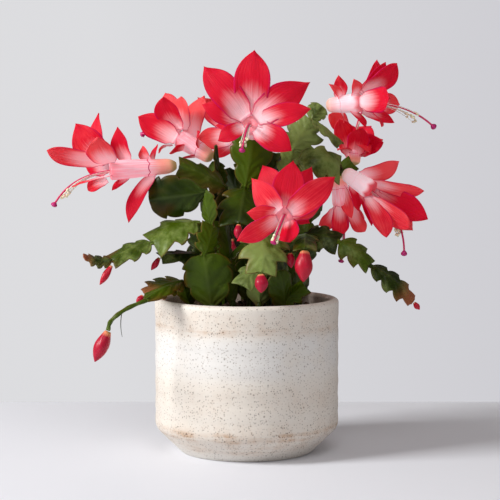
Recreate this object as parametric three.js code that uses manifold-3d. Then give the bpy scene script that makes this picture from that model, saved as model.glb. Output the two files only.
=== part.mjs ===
// A Christmas cactus (Schlumbergera truncata) in flower, in a straight stoneware pot.
// Millimetres, +Z up, origin at the centre of the pot's flat base. -Y is the side with the best view.
import * as THREE from 'three';
import Module from 'manifold-3d';

const wasm = await Module();
wasm.setup();

// ---------------------------------------------------------------- driving dimensions

const POT_RADIUS = 60;
const POT_HEIGHT = 100;
const POT_FOOT_RADIUS = 44;
const POT_LIP_RADIUS = 56.5; // of the crest of the rounded lip
const LIP_DEPTH = 3.5; // height over which the lip is rounded
const POT_WALL = 6.5;
const POT_FLOOR = 7;
const POT_SIDES = 32;

const GAP = 0.3; // kept between pieces that touch
const SOIL_AT_WALL = 89;
const SOIL_CROWN = 5; // how much higher the soil stands in the middle
const SOIL_LUMP = 1.3;
const SOIL_RINGS = 4;
const SOIL_SECTORS = 20;

const ROOT_WIDTH = 5;
const ROOT_FOOT = 80; // height where a rooted stem ends in the soil
const ROOT_TOP = 96;
const ROOT_HOLE_RADIUS = 3.8;
const ROOT_HOLE_SIDES = 5;

const RIB_THICKNESS = 2.4; // of a leaf-like stem segment, along its midrib
const JOINT_THICKNESS = 2;
const JOINT_WIDTH = 3.4;
const EDGE_THICKNESS = 0.8;
const SEGMENT_CAMBER = 0.1; // of its width
const JOINT_OVERLAP = 1.6;

const PETAL_THICKNESS = 0.7;
const TUBE_SIDES = 8;
const TUBE_BASE_RADIUS = 4.2;
const TUBE_MOUTH_RADIUS = 6.4;
const THROAT_RADIUS = 4.2;
const THROAT_DEPTH = 7;
const THROAT_SIDES = 6;
const STAMEN_COUNT = 4;
const STAMEN_FAN = 3.5; // how far the stamens spread round the style, in radians
const STYLE_RADIUS = 0.75;
const BUD_SIDES = 6;

// ---------------------------------------------------------------- vectors and solids

const vector = ([x, y, z]) => new THREE.Vector3(x, y, z);

const along = (start, direction, distance) => start.clone().addScaledVector(direction, distance);

const between = (start, end) => end.clone().sub(start);

// A closed solid from its corner points and triangles.
function solidOf(points, faces) {
  const vertProperties = new Float32Array(points.flatMap((p) => [p.x, p.y, p.z]));
  return new wasm.Manifold(
    new wasm.Mesh({ numProp: 3, vertProperties, triVerts: new Uint32Array(faces.flat()) }),
  );
}

const union = (solids) => solids.reduce((whole, solid) => whole.add(solid));

function meshOf(name, solid, material) {
  const { vertProperties, triVerts } = solid.getMesh();
  const geometry = new THREE.BufferGeometry();
  geometry.setAttribute('position', new THREE.BufferAttribute(vertProperties, 3));
  geometry.setIndex([...triVerts]);
  geometry.computeVertexNormals();
  const mesh = new THREE.Mesh(geometry, material);
  mesh.name = name;
  return mesh;
}

// A round rod along a row of points, with its own radius at each, and its axes carried along without twist.
function rod(path, radii, sides, relief = () => 1) {
  const points = [];
  let across = null;
  path.forEach((centre, i) => {
    const tangent = between(path[Math.max(i - 1, 0)], path[Math.min(i + 1, path.length - 1)]).normalize();
    across ??= Math.abs(tangent.z) < 0.9 ? new THREE.Vector3(0, 0, 1) : new THREE.Vector3(1, 0, 0);
    const second = new THREE.Vector3().crossVectors(tangent, across).normalize();
    across = new THREE.Vector3().crossVectors(second, tangent);
    for (let k = 0; k < sides; k++) {
      const turn = (2 * Math.PI * k) / sides;
      const radius = radii[i] * relief(i, turn);
      const point = along(centre, across, radius * Math.cos(turn));
      points.push(point.addScaledVector(second, radius * Math.sin(turn)));
    }
  });
  const faces = [];
  for (let i = 0; i + 1 < path.length; i++) {
    for (let k = 0; k < sides; k++) {
      const [a, b] = [i * sides + k, i * sides + ((k + 1) % sides)];
      faces.push([a, b, b + sides], [a, b + sides, a + sides]);
    }
  }
  const last = (path.length - 1) * sides;
  for (let k = 1; k + 1 < sides; k++) {
    faces.push([0, k + 1, k], [last, last + k, last + k + 1]);
  }
  return solidOf(points, faces);
}

const cylinder = (start, end, radius, sides) => rod([start, end], [radius, radius], sides);

const straight = (start, end, fractions) => fractions.map((t) => start.clone().lerp(end, t));

// A lathe of a profile of [radius, height] points that starts and ends on the axis.
function turned(profile, sides) {
  const geometry = new THREE.LatheGeometry(profile.map(([r, z]) => new THREE.Vector2(r, z)), sides);
  const rings = profile.length;
  const position = geometry.getAttribute('position');
  const index = new Map();
  const points = [];
  const remap = [];
  for (let i = 0; i < position.count; i++) {
    const point = new THREE.Vector3(position.getX(i), -position.getZ(i), position.getY(i));
    const [ring, side] = [i % rings, Math.floor(i / rings) % sides];
    const key = profile[ring][0] === 0 ? ring : `${ring}/${side}`;
    if (!index.has(key)) index.set(key, points.push(point) - 1);
    remap.push(index.get(key));
  }
  const faces = [];
  const triangles = geometry.getIndex().array;
  for (let i = 0; i < triangles.length; i += 3) {
    const [a, b, c] = [remap[triangles[i]], remap[triangles[i + 1]], remap[triangles[i + 2]]];
    if (a !== b && b !== c && c !== a) faces.push([a, b, c]);
  }
  return solidOf(points, faces);
}

// ---------------------------------------------------------------- leaf-like stem segments

// Half outlines between two joints, as [distance from base to tip, distance from the midrib] in parts of
// the length and the half width.
const TOOTHED = [[0.1, 0.2], [0.33, 0.9], [0.38, 0.66], [0.62, 1], [0.69, 0.7], [1.03, 0.84]];
const ROUNDED = [[0.08, 0.2], [0.24, 0.82], [0.48, 1], [0.72, 0.94], [0.9, 0.66]];
const FLARED = [[0.1, 0.18], [0.38, 0.6], [0.43, 0.52], [0.74, 0.94], [0.79, 0.84], [1.02, 1]];
const STARRED = [[0.09, 0.2], [0.38, 1], [0.42, 0.6], [0.72, 0.96], [0.75, 0.54], [1.04, 0.6]];
const PLAIN = [[0.1, 0.2], [0.4, 0.94], [0.8, 0.86]];
const ROOTED = [[0.2, 1], [0.8, 1]];
const RIB_STATIONS = [0.4, 0.7];

const FRONT = [0, -1, 0.15];
const FRONT_LEFT = [-0.7, -0.7, 0.2];
const FRONT_RIGHT = [0.7, -0.7, 0.2];
const UPWARD = [0, -0.3, 1];
const BACK = [0, 1, 0.2];
const BACK_UP = [0, 0.6, 0.8];
const BACK_LEFT = [-0.7, 0.7, 0.2];
const BACK_RIGHT = [0.7, 0.7, 0.2];
const SIDEWAYS = [1, -0.2, 0];
const VIEW_SIDE = [0, -1, 0];

// One segment: where it ends, which way its face looks, its width, how far its middle bows out and its
// outline.
const segment = (tip, face, width, bow = 0, outline = TOOTHED) => ({ tip, face, width, bow, outline });

// The frame of each segment of a run: its axis, the side its width lies along and the way its face looks.
// A frame that would turn its side round against the one before is turned back, with its bow.
function segmentFrames(joints, segments) {
  const frames = [];
  segments.forEach(({ face, bow }, i) => {
    const axis = between(joints[i], joints[i + 1]).normalize();
    const side = new THREE.Vector3().crossVectors(vector(face), axis).normalize();
    const sign = i > 0 && side.dot(frames[i - 1].side) < 0 ? -1 : 1;
    side.multiplyScalar(sign);
    const normal = new THREE.Vector3().crossVectors(axis, side);
    frames.push({ axis, side, normal, sign, bow: sign * bow });
  });
  return frames;
}

// The mean of what two neighbouring segments have in common at their joint.
const jointMean = (frames, i, key) => {
  const sum = (frames[i - 1] ?? frames[i])[key].clone().add((frames[i] ?? frames[i - 1])[key]);
  return sum.normalize();
};

// A run of segments as one sheet: they share three points across at each narrow joint.
function runSolid(from, segments) {
  const first = between(from, vector(segments[0].tip)).normalize();
  const joints = [along(from, first, -JOINT_OVERLAP), ...segments.map(({ tip }) => vector(tip))];
  const frames = segmentFrames(joints, segments);
  const middles = []; // points of the sheet's middle surface, with its normal and thickness there
  const top = [];
  joints.forEach((joint, i) => {
    const [side, normal] = [jointMean(frames, i, 'side'), jointMean(frames, i, 'normal')];
    for (const across of [0, 1, -1]) {
      middles.push({
        point: along(joint, side, (across * JOINT_WIDTH) / 2),
        normal,
        thickness: across === 0 ? JOINT_THICKNESS : JOINT_THICKNESS - 0.6,
      });
    }
  });
  segments.forEach(({ width, outline }, i) => {
    const { axis, side, normal, sign, bow } = frames[i];
    const length = joints[i].distanceTo(joints[i + 1]);
    const place = (u, v) => {
      const height = 4 * bow * u * (1 - u) - sign * SEGMENT_CAMBER * width * v * v;
      const point = along(along(joints[i], axis, u * length), side, (v * width) / 2);
      const thickness = THREE.MathUtils.lerp(RIB_THICKNESS, EDGE_THICKNESS, Math.abs(v));
      return middles.push({ point: point.addScaledVector(normal, height), normal, thickness }) - 1;
    };
    const ribIndex = [3 * i, ...RIB_STATIONS.map((u) => place(u, 0)), 3 * i + 3];
    const sides = [1, -1].map((way) => [
      3 * i + (way > 0 ? 1 : 2),
      ...outline.map(([u, v]) => place(u, way * v)),
      3 * i + 3 + (way > 0 ? 1 : 2),
    ]);
    const rib = [0, ...RIB_STATIONS, 1].map((u) => new THREE.Vector2(u, 0));
    const neck = JOINT_WIDTH / width;
    const edge = [[0, neck], ...outline, [1, neck]].map(([u, v]) => new THREE.Vector2(u, v));
    const cut = THREE.ShapeUtils.triangulateShape([...rib, ...edge.reverse()], []);
    sides.forEach((sideIndex, k) => {
      const index = [...ribIndex, ...sideIndex.reverse()];
      for (const corners of cut) {
        const [a, b, c] = corners.map((corner) => index[corner]);
        top.push(k === 0 ? [a, b, c] : [a, c, b]);
      }
    });
  });
  const sheet = (way) =>
    middles.map(({ point, normal, thickness }) => along(point, normal, (way * thickness) / 2));
  return solidOf([...sheet(1), ...sheet(-1)], thicken(top, middles.length));
}

// A thin sheet's two faces and edge walls. Its top is given, and its bottom has the same points after it.
function thicken(top, count) {
  const open = new Map();
  for (const [a, b, c] of top) {
    for (const [from, to] of [[a, b], [b, c], [c, a]]) {
      if (!open.delete(`${to}/${from}`)) open.set(`${from}/${to}`, [from, to]);
    }
  }
  const walls = [...open.values()].flatMap(([from, to]) => [
    [from, from + count, to + count],
    [from, to + count, to],
  ]);
  return [...top, ...top.map(([a, b, c]) => [c + count, b + count, a + count]), ...walls];
}

// Each stem: where it is rooted, then its runs of segments, the first from the root and the others from a
// joint of an earlier run.
const STEMS = {
  stem_left_arch: {
    root: [-18, -10],
    runs: [
      { segments: [
        segment([-26, -17, 127], FRONT_LEFT, 20, 0, PLAIN),
        segment([-31, -25, 150], [-0.3, -0.8, 0.4], 20, 2),
        segment([-59, -38, 138], [-0.2, -0.6, 0.8], 28, 4),
        segment([-84, -46, 128], [-0.2, -0.6, 0.8], 19, 2),
        segment([-101, -52, 131], [-0.1, -0.6, 0.8], 14, -2),
      ] },
      { from: [-26, -17, 127], segments: [segment([-54, -34, 129], [0, -0.6, 0.8], 14, 2)] },
    ],
  },
  stem_low_left: {
    root: [-36, -14],
    runs: [
      { segments: [
        segment([-41, -23, 112], [-0.3, -0.9, 0.4], 14, 0, PLAIN),
        segment([-63, -48, 107], [-0.3, -0.9, 0.4], 20, 2),
      ] },
      { from: [-41, -23, 112], segments: [segment([-62, -56, 104], [0.2, -0.3, 1], 14, 2, PLAIN)] },
    ],
    neck: [[-60, -54, 104.5], [-74, -61, 99], [-83, -63, 92], [-85, -64, 86]],
  },
  stem_front_left: {
    root: [-22, -32],
    runs: [
      { segments: [
        segment([-27, -37, 131], [-0.1, -1, 0.1], 32, 1, ROUNDED),
        segment([-22, -32, 149], [0.6, -0.7, 0.1], 19, 1),
        segment([-26, -31, 171], [-0.7, -0.7, 0.1], 17, 1, PLAIN),
      ] },
      { from: [-26, -31, 170], segments: [segment([-62, -25, 165], [0, -1, -0.15], 26, 2, ROUNDED)] },
    ],
  },
  stem_left_bloom: {
    root: [-9, -20],
    runs: [
      { segments: [
        segment([-12, -19, 126], FRONT_RIGHT, 19, 0, PLAIN),
        segment([-16, -12, 150], [0.8, -0.6, 0], 17, 1),
        segment([-14, -8, 172], [0.7, -0.7, 0], 16, 1, PLAIN),
        segment([-43, -19, 186], [0, -0.8, 0.6], 20, 2),
      ] },
      { from: [-12, -19, 126], segments: [segment([2, -36, 140], [0, -0.6, 0.8], 16, 1)] },
    ],
  },
  stem_top_bloom: {
    root: [2, -8],
    runs: [
      { segments: [
        segment([1, -10, 128], FRONT, 20, 0, PLAIN),
        segment([3, -12, 152], FRONT_RIGHT, 18, 1, PLAIN),
        segment([-1, -13, 172], FRONT, 17, 1, PLAIN),
        segment([4, -10, 206], [0, -1, 0.1], 30, 1, FLARED),
      ] },
      { from: [-1, -13, 172], segments: [segment([-5, -35, 150], [0, -0.8, 0.6], 30, 2)] },
    ],
  },
  stem_upper_left_bloom: {
    root: [-15, 5],
    runs: [
      { segments: [
        segment([-17, 6, 127], FRONT_LEFT, 20, 0, PLAIN),
        segment([-20, 8, 149], FRONT, 19, 1, PLAIN),
        segment([-17, 6, 170], FRONT_RIGHT, 17, 1, PLAIN),
        segment([-21, 4, 189], [-0.5, -0.8, 0.2], 15, 1, PLAIN),
      ] },
      { from: [-17, 6, 170], segments: [segment([-20, -6, 199], SIDEWAYS, 12, 0, PLAIN)] },
    ],
  },
  stem_upper_right_bloom: {
    root: [14, 6],
    runs: [
      { segments: [
        segment([17, 7, 127], FRONT_RIGHT, 20, 0, PLAIN),
        segment([21, 7, 151], FRONT, 20, 1, PLAIN),
        segment([26, 6, 174], FRONT_RIGHT, 19, 1),
        segment([30, 4, 196], FRONT, 18, 1),
        segment([42, 4, 216], [0, -1, 0.3], 28, 1, STARRED),
        segment([49, 5, 225], [0, -1, 0.2], 14, 1, ROUNDED),
      ] },
      { from: [42, 4, 216], segments: [segment([61, 0, 200], [0.7, -0.4, 0.8], 16, 1)] },
    ],
  },
  stem_right_bloom: {
    root: [20, -12],
    runs: [
      { segments: [
        segment([23, -13, 126], FRONT_RIGHT, 19, 0, PLAIN),
        segment([26, -13, 149], FRONT, 19, 1, PLAIN),
        segment([28, -12, 171], FRONT_LEFT, 17, 1, PLAIN),
        segment([31, -12, 188], FRONT, 15, 1, PLAIN),
        segment([60, -8, 184], [0, -0.9, 0.5], 24, 8),
      ] },
      { from: [26, -13, 149], segments: [segment([27, -29, 161], UPWARD, 15, 1, PLAIN)] },
      { from: [23, -13, 126], segments: [segment([27, -41, 133], UPWARD, 15, 3)] },
    ],
  },
  stem_right_trailing: {
    root: [34, -2],
    runs: [
      { segments: [
        segment([38, -4, 122], FRONT_RIGHT, 17, 0, PLAIN),
        segment([38, -8, 141], FRONT, 17, 1, PLAIN),
        segment([59, -14, 137], [0.1, -0.8, 0.6], 22, 3),
        segment([79, -16, 122], [0.3, -0.8, 0.5], 20, 3, STARRED),
        segment([107, -18, 99], [0.3, -0.7, 0.6], 19, 3),
      ] },
      { from: [38, -8, 141], segments: [segment([36, -48, 135], UPWARD, 18, 3)] },
    ],
  },
  stem_front_bud: {
    root: [8, -28],
    runs: [
      { segments: [
        segment([9, -30, 124], FRONT, 20, 0, PLAIN),
        segment([13, -38, 144], FRONT, 16, 1, PLAIN),
        segment([9, -57, 121], [0, -0.9, 0.5], 32, 4, STARRED),
      ] },
      { from: [9, -30, 124], segments: [segment([-3, -44, 112], [-0.3, -0.9, 0.3], 18, 2)] },
    ],
  },
  stem_short_right: {
    root: [23, -27],
    runs: [
      { segments: [segment([20, -36, 120], [0.6, -0.8, 0], 20, 2, ROUNDED)] },
      { from: [23, -27, 99], segments: [segment([37, -26, 110], [-0.2, -0.8, 0.5], 14, 1)] },
    ],
  },
  stem_right_behind: {
    root: [30, 16],
    runs: [
      { segments: [
        segment([34, 20, 126], FRONT_RIGHT, 20, 0, PLAIN),
        segment([42, 26, 148], FRONT, 19, 1, PLAIN),
        segment([48, 29, 169], FRONT_RIGHT, 17, 1, PLAIN),
        segment([69, 29, 182], [-0.2, -0.8, 0.6], 15, 1),
      ] },
      { from: [48, 29, 169], segments: [
        segment([54, 24, 187], FRONT_LEFT, 13, 0, PLAIN),
        segment([60, 9, 181], UPWARD, 12, 3, PLAIN),
      ] },
    ],
  },
  stem_back_left: {
    root: [-24, 18],
    runs: [
      { segments: [
        segment([-28, 26, 126], BACK_LEFT, 21, 0, PLAIN),
        segment([-26, 42, 144], [-0.6, 0.4, 0.6], 20, 2, PLAIN),
        segment([-31, 66, 138], [-0.2, 0.4, 0.9], 21, 4),
        segment([-36, 84, 116], [-0.4, 0.5, 0.7], 18, 3),
      ] },
      { from: [-28, 26, 126], segments: [segment([-38, 52, 118], [-0.2, 0.6, 0.8], 18, 3, STARRED)] },
    ],
  },
  stem_back: {
    root: [-2, 28],
    runs: [
      { segments: [
        segment([-3, 36, 127], BACK, 21, 0, PLAIN),
        segment([-4, 46, 149], BACK_LEFT, 20, 2),
        segment([-8, 68, 152], BACK_UP, 21, 3),
        segment([-10, 86, 134], BACK_UP, 18, 3),
      ] },
      { from: [-3, 36, 127], segments: [segment([6, 64, 126], BACK_UP, 20, 3, STARRED)] },
    ],
  },
  stem_back_right: {
    root: [18, 32],
    runs: [
      { segments: [
        segment([22, 40, 126], BACK_RIGHT, 20, 0, PLAIN),
        segment([27, 50, 146], BACK, 19, 2),
        segment([34, 72, 140], BACK_UP, 21, 4),
        segment([38, 88, 120], [0.5, 0.6, 0.6], 17, 3),
      ] },
    ],
  },
  stem_centre_behind: {
    root: [2, 14],
    runs: [
      { segments: [
        segment([1, 18, 130], BACK, 20, 0, PLAIN),
        segment([0, 21, 156], BACK_LEFT, 20, 1, PLAIN),
        segment([-1, 26, 180], BACK, 18, 1, PLAIN),
        segment([-2, 36, 196], BACK_UP, 17, 2),
      ] },
    ],
  },
};

const stemMaterial = new THREE.MeshStandardMaterial({ color: 0x55762f, roughness: 0.45 });

// A stem's foot in the soil is one more segment, straight and narrow.
function stemSolid({ root: [x, y], runs, neck }) {
  const foot = new THREE.Vector3(x, y, ROOT_FOOT + JOINT_OVERLAP);
  const pieces = runs.map(({ from, segments }) => {
    if (from) return runSolid(vector(from), segments);
    const rooted = segment([x, y, ROOT_TOP], segments[0].face, ROOT_WIDTH, 0, ROOTED);
    return runSolid(foot, [rooted, ...segments]);
  });
  if (neck) pieces.push(rod(neck.map(vector), neck.map(() => 1.3), 5));
  return union(pieces);
}

// ---------------------------------------------------------------- flowers

// Where a petal leaves the floral tube, in parts of its length, and how wide it grows and bows.
const BASAL = { place: 0.32, width: 8, bow: 0.18 };
const MIDDLE = { place: 0.66, width: 10, bow: 0.2 };
const MOUTH = { place: 0.97, width: 15, bow: 0.22 };

// A petal's inner face looks along the flower's axis; turn 0 to 1 twists it round to look to -Y.
const petal = (whorl, tip, width = whorl.width, turn = 0) => ({ ...whorl, tip, width, turn });

// The rows of points across a petal, from its foot to its tip, as [part of the length, part of the width,
// points in the row].
const BROAD_PETAL = [[0, 0.22, 2], [0.36, 0.84, 3], [0.7, 1, 3], [1, 0, 1]];
const NARROW_PETAL = [[0, 0.3, 2], [0.5, 1, 2], [1, 0, 1]];
const BROAD_FROM = 12;
const PETAL_CHANNEL = 0.12; // depth of a broad petal's hollow, of its width

// Each flower: its base on a segment's tip, its mouth, the stigma its style ends in, and its petals' tips.
const BLOOMS = {
  bloom_left: {
    base: [-45, -19.4, 186.4], mouth: [-90, -30, 183], stigma: [-121, -40, 161],
    petals: [
      petal(MOUTH, [-125, -38, 196], 12, 0.5), petal(MOUTH, [-108, -28, 213], 18, 0.7),
      petal(MOUTH, [-95, -52, 203], 17, 0.4), petal(MOUTH, [-95, -12, 220], 14, 0.6),
      petal(MOUTH, [-108, -50, 174], 10, 0.3), petal(MOUTH, [-100, -34, 171], 9, 0.3),
      petal(MOUTH, [-106, 0, 190], 15), petal(MIDDLE, [-82, -24, 211], 13, 0.6),
      petal(MIDDLE, [-85, -32, 171], 6, 0.4), petal(MIDDLE, [-80, 0, 194]),
      petal(BASAL, [-66, -24, 199], 9, 0.5), petal(BASAL, [-74, -40, 151], 13, 0.6),
      petal(BASAL, [-57, -16, 200], 7, 0.4), petal(BASAL, [-73, 0, 183]),
    ],
  },
  bloom_upper_left: {
    base: [-22.4, 4.3, 190.8], mouth: [-46, 9, 205], stigma: [-70, 26, 206],
    petals: [
      petal(MOUTH, [-71, 6, 218], 17, 0.6), petal(MOUTH, [-54, -6, 230], 16, 0.5),
      petal(MOUTH, [-54, 22, 234], 15, 0.6), petal(MOUTH, [-43, 4, 231], 18, 0.6),
      petal(MOUTH, [-62, 40, 216], 14), petal(MOUTH, [-58, 10, 194], 10),
      petal(MIDDLE, [-28, 16, 232], 15, 0.7), petal(MIDDLE, [-36, 36, 220], 12),
      petal(MIDDLE, [-50, -6, 194], 8), petal(BASAL, [-44, 4, 190], 7),
      petal(BASAL, [-30, -9, 208], 10, 0.4),
    ],
  },
  bloom_top: {
    base: [4, -11.4, 206.4], mouth: [2, -40, 213], stigma: [-3, -64, 195],
    petals: [
      petal(MOUTH, [5, -32, 259], 23), petal(MOUTH, [-27, -28, 249], 20),
      petal(MOUTH, [40, -30, 239], 21), petal(MOUTH, [-28, -38, 225], 16),
      petal(MOUTH, [40, -40, 223], 16), petal(MOUTH, [28, -48, 196], 17),
      petal(MOUTH, [-18, -42, 202], 11), petal(MIDDLE, [23, -26, 209], 9),
      petal(MIDDLE, [-8, -14, 236], 12), petal(MIDDLE, [26, -14, 228], 12),
      petal(MIDDLE, [-20, -18, 212], 10), petal(BASAL, [4, -3, 224], 8),
    ],
  },
  bloom_upper_right: {
    base: [52, 5, 225], mouth: [76, 0, 227], stigma: [121, -12, 210],
    petals: [
      petal(MOUTH, [85, 8, 255], 13, 0.7), petal(MOUTH, [97, -4, 252], 16, 0.7),
      petal(MOUTH, [90, -32, 229], 17, 0.4), petal(MOUTH, [101, 18, 226], 14, 0.4),
      petal(MOUTH, [86, -20, 211], 10, 0.3), petal(MOUTH, [96, 2, 214], 9, 0.4),
      petal(MOUTH, [91, 32, 238], 13), petal(MIDDLE, [69, -6, 242], 9, 0.5),
      petal(MIDDLE, [77, -6, 211], 9, 0.4), petal(MIDDLE, [72, 26, 238], 10),
      petal(BASAL, [53, -2, 239], 7, 0.4), petal(BASAL, [60, 8, 245], 10, 0.7),
      petal(BASAL, [64, 18, 214], 7),
    ],
  },
  bloom_right_behind: {
    base: [71, 31, 186], mouth: [72, 34, 204], stigma: [84, 42, 230],
    petals: [
      petal(MOUTH, [55, 26, 220], 15, 0.6), petal(MOUTH, [66, 52, 222], 14, 0.4),
      petal(MOUTH, [70, 14, 214], 16, 0.5), petal(MOUTH, [85, 22, 205], 14, 0.6),
      petal(MOUTH, [92, 40, 203], 13, 0.4), petal(MOUTH, [82, 58, 212], 13),
      petal(MIDDLE, [54, 36, 206], 10, 0.3), petal(MIDDLE, [82, 18, 194], 10, 0.4),
      petal(BASAL, [60, 19, 196], 8), petal(BASAL, [84, 34, 190], 8),
    ],
  },
  bloom_right: {
    base: [62.5, -9, 182], mouth: [82, -16, 169], stigma: [100, -26, 129],
    petals: [
      petal(MOUTH, [116, -18, 152], 17, 0.5), petal(MOUTH, [108, -4, 144], 16, 0.5),
      petal(MOUTH, [88, -38, 142], 17, 0.4), petal(MOUTH, [112, -4, 170], 12, 0.5),
      petal(MOUTH, [100, 12, 156], 12), petal(MOUTH, [104, -44, 158], 15, 0.2),
      petal(MIDDLE, [114, -14, 170], 9, 0.6), petal(MIDDLE, [80, -20, 148], 8, 0.4),
      petal(MIDDLE, [94, 12, 168], 9), petal(BASAL, [98, -12, 189], 12, 0.7),
      petal(BASAL, [72, -12, 157], 8, 0.4), petal(BASAL, [80, 12, 178], 8),
    ],
  },
  bloom_front: {
    base: [27, -30.5, 161], mouth: [23, -57, 156], stigma: [16, -77, 140],
    petals: [
      petal(MOUTH, [3, -46, 179], 13), petal(MOUTH, [10, -44, 186], 15),
      petal(MOUTH, [34, -44, 189], 21), petal(MOUTH, [55, -48, 180], 20),
      petal(MOUTH, [0, -56, 158], 10), petal(MOUTH, [-6, -64, 141], 15),
      petal(MOUTH, [25, -72, 140], 12), petal(MOUTH, [36, -68, 150], 13),
      petal(MIDDLE, [22, -32, 184], 12), petal(MIDDLE, [46, -36, 173], 11),
      petal(MIDDLE, [8, -38, 153], 9), petal(BASAL, [40, -30, 150], 8),
    ],
  },
  bloom_right_low: {
    base: [60, 8, 179], mouth: [63, 7, 158], stigma: [62, 11, 122],
    petals: [
      petal(MOUTH, [77, 0, 143], 11, 0.5), petal(MOUTH, [60, -6, 141], 13, 0.4),
      petal(MOUTH, [47, 0, 147], 14, 0.5), petal(MOUTH, [62, 30, 138], 12),
      petal(MOUTH, [50, 20, 146], 11), petal(MIDDLE, [78, 18, 150], 9),
      petal(BASAL, [68, -5, 152], 9, 0.4), petal(BASAL, [74, 10, 155], 8, 0.4),
    ],
  },
  bloom_back: {
    base: [-2, 38, 197.5], mouth: [-4, 68, 206], stigma: [-5, 98, 194],
    petals: [
      petal(MOUTH, [-4, 60, 246], 20), petal(MOUTH, [-34, 58, 232], 18),
      petal(MOUTH, [26, 58, 234], 18), petal(MOUTH, [-36, 72, 202], 16),
      petal(MOUTH, [28, 74, 202], 16), petal(MOUTH, [-24, 82, 190], 12),
      petal(MIDDLE, [14, 44, 232], 12), petal(MIDDLE, [-22, 44, 228], 12),
      petal(MIDDLE, [16, 62, 182], 10), petal(BASAL, [14, 36, 212], 8),
    ],
  },
};

const petalMaterial = new THREE.MeshStandardMaterial({ color: 0xe8233c, roughness: 0.5 });
const stamenMaterial = new THREE.MeshStandardMaterial({ color: 0xf1e6bc, roughness: 0.6 });
const pistilMaterial = new THREE.MeshStandardMaterial({ color: 0xc81d62, roughness: 0.45 });

function petalSolid(base, axis, tubeLength, { place, width, bow, tip, turn }) {
  const centre = along(base, axis, place * tubeLength);
  const target = vector(tip);
  const outward = between(centre, target).projectOnPlane(axis).normalize();
  const tubeRadius = THREE.MathUtils.lerp(TUBE_BASE_RADIUS, TUBE_MOUTH_RADIUS, place);
  const foot = along(centre, outward, tubeRadius - 1);
  const reach = foot.distanceTo(target);
  const bend = along(foot.clone().lerp(target, 0.5), axis, bow * reach);
  const curve = new THREE.QuadraticBezierCurve3(foot, bend, target);
  const facing = axis.clone().lerp(vector(VIEW_SIDE), turn);
  const side = new THREE.Vector3().crossVectors(facing, between(foot, target)).normalize();

  const rows = width >= BROAD_FROM ? BROAD_PETAL : NARROW_PETAL;
  const points = [];
  for (const face of [0.5, -0.5]) {
    for (const [t, share, count] of rows) {
      const normal = new THREE.Vector3().crossVectors(side, curve.getTangent(t)).normalize();
      for (let k = 0; k < count; k++) {
        const across = count > 1 ? k / (count - 1) - 0.5 : 0;
        const hollow = (0.25 - Math.abs(across)) * PETAL_CHANNEL * width * share;
        const point = along(curve.getPoint(t), side, across * share * width);
        points.push(point.addScaledVector(normal, hollow + face * PETAL_THICKNESS));
      }
    }
  }
  return solidOf(points, thicken(zipRows(rows.map(([, , count]) => count)), points.length / 2));
}

// Triangles between rows of points numbered one after another, whose counts may differ.
function zipRows(counts) {
  const faces = [];
  let start = 0;
  for (let row = 0; row + 1 < counts.length; row++) {
    const [here, next] = [counts[row], counts[row + 1]];
    const after = start + here;
    let [i, j] = [0, 0];
    while (i + 1 < here || j + 1 < next) {
      if (j + 1 >= next || (i + 1 < here && (i + 1) / (here - 1) <= (j + 0.5) / (next - 1))) {
        faces.push([start + i, start + i + 1, after + j]);
        i += 1;
      } else {
        faces.push([start + i, after + j + 1, after + j]);
        j += 1;
      }
    }
    start = after;
  }
  return faces;
}

// The floral tube swells at the ovary, narrows and then widens, as [part of the length, radius].
const TUBE_SECTION = [
  [0, TUBE_BASE_RADIUS - 1], [0.14, TUBE_BASE_RADIUS + 0.4], [0.26, TUBE_BASE_RADIUS],
  [0.6, TUBE_BASE_RADIUS + 1.4], [1, TUBE_MOUTH_RADIUS],
];

// The floral tube with its throat, and the petals in whorls along it.
function bloomSolid({ base, mouth, petals }) {
  const [foot, lip] = [vector(base), vector(mouth)];
  const axis = between(foot, lip).normalize();
  const length = foot.distanceTo(lip);
  const path = straight(foot, lip, TUBE_SECTION.map(([t]) => t));
  const tube = rod(path, TUBE_SECTION.map(([, radius]) => radius), TUBE_SIDES);
  const throatFloor = along(lip, axis, -THROAT_DEPTH);
  const throat = cylinder(throatFloor, along(lip, axis, 3), THROAT_RADIUS, THROAT_SIDES);
  return union([
    tube.subtract(throat),
    ...petals.map((spec) => petalSolid(foot, axis, length, spec)),
  ]);
}

// The curve that a flower's style follows from the foot of the throat to the stigma.
function styleCurve({ base, mouth, stigma }) {
  const lip = vector(mouth);
  const axis = between(vector(base), lip).normalize();
  const end = vector(stigma);
  const bend = along(lip, axis, 0.55 * lip.distanceTo(end));
  return new THREE.QuadraticBezierCurve3(along(lip, axis, GAP - THROAT_DEPTH), bend, end);
}

function pistilSolid(bloom) {
  const curve = styleCurve(bloom);
  const stations = [0, 0.25, 0.5, 0.72, 0.92, 0.94, 0.975, 1];
  const radii = [...stations.slice(0, 5).map(() => STYLE_RADIUS), 1.6, 2.2, 0.9];
  return rod(stations.map((t) => curve.getPoint(t)), radii, 5);
}

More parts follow.
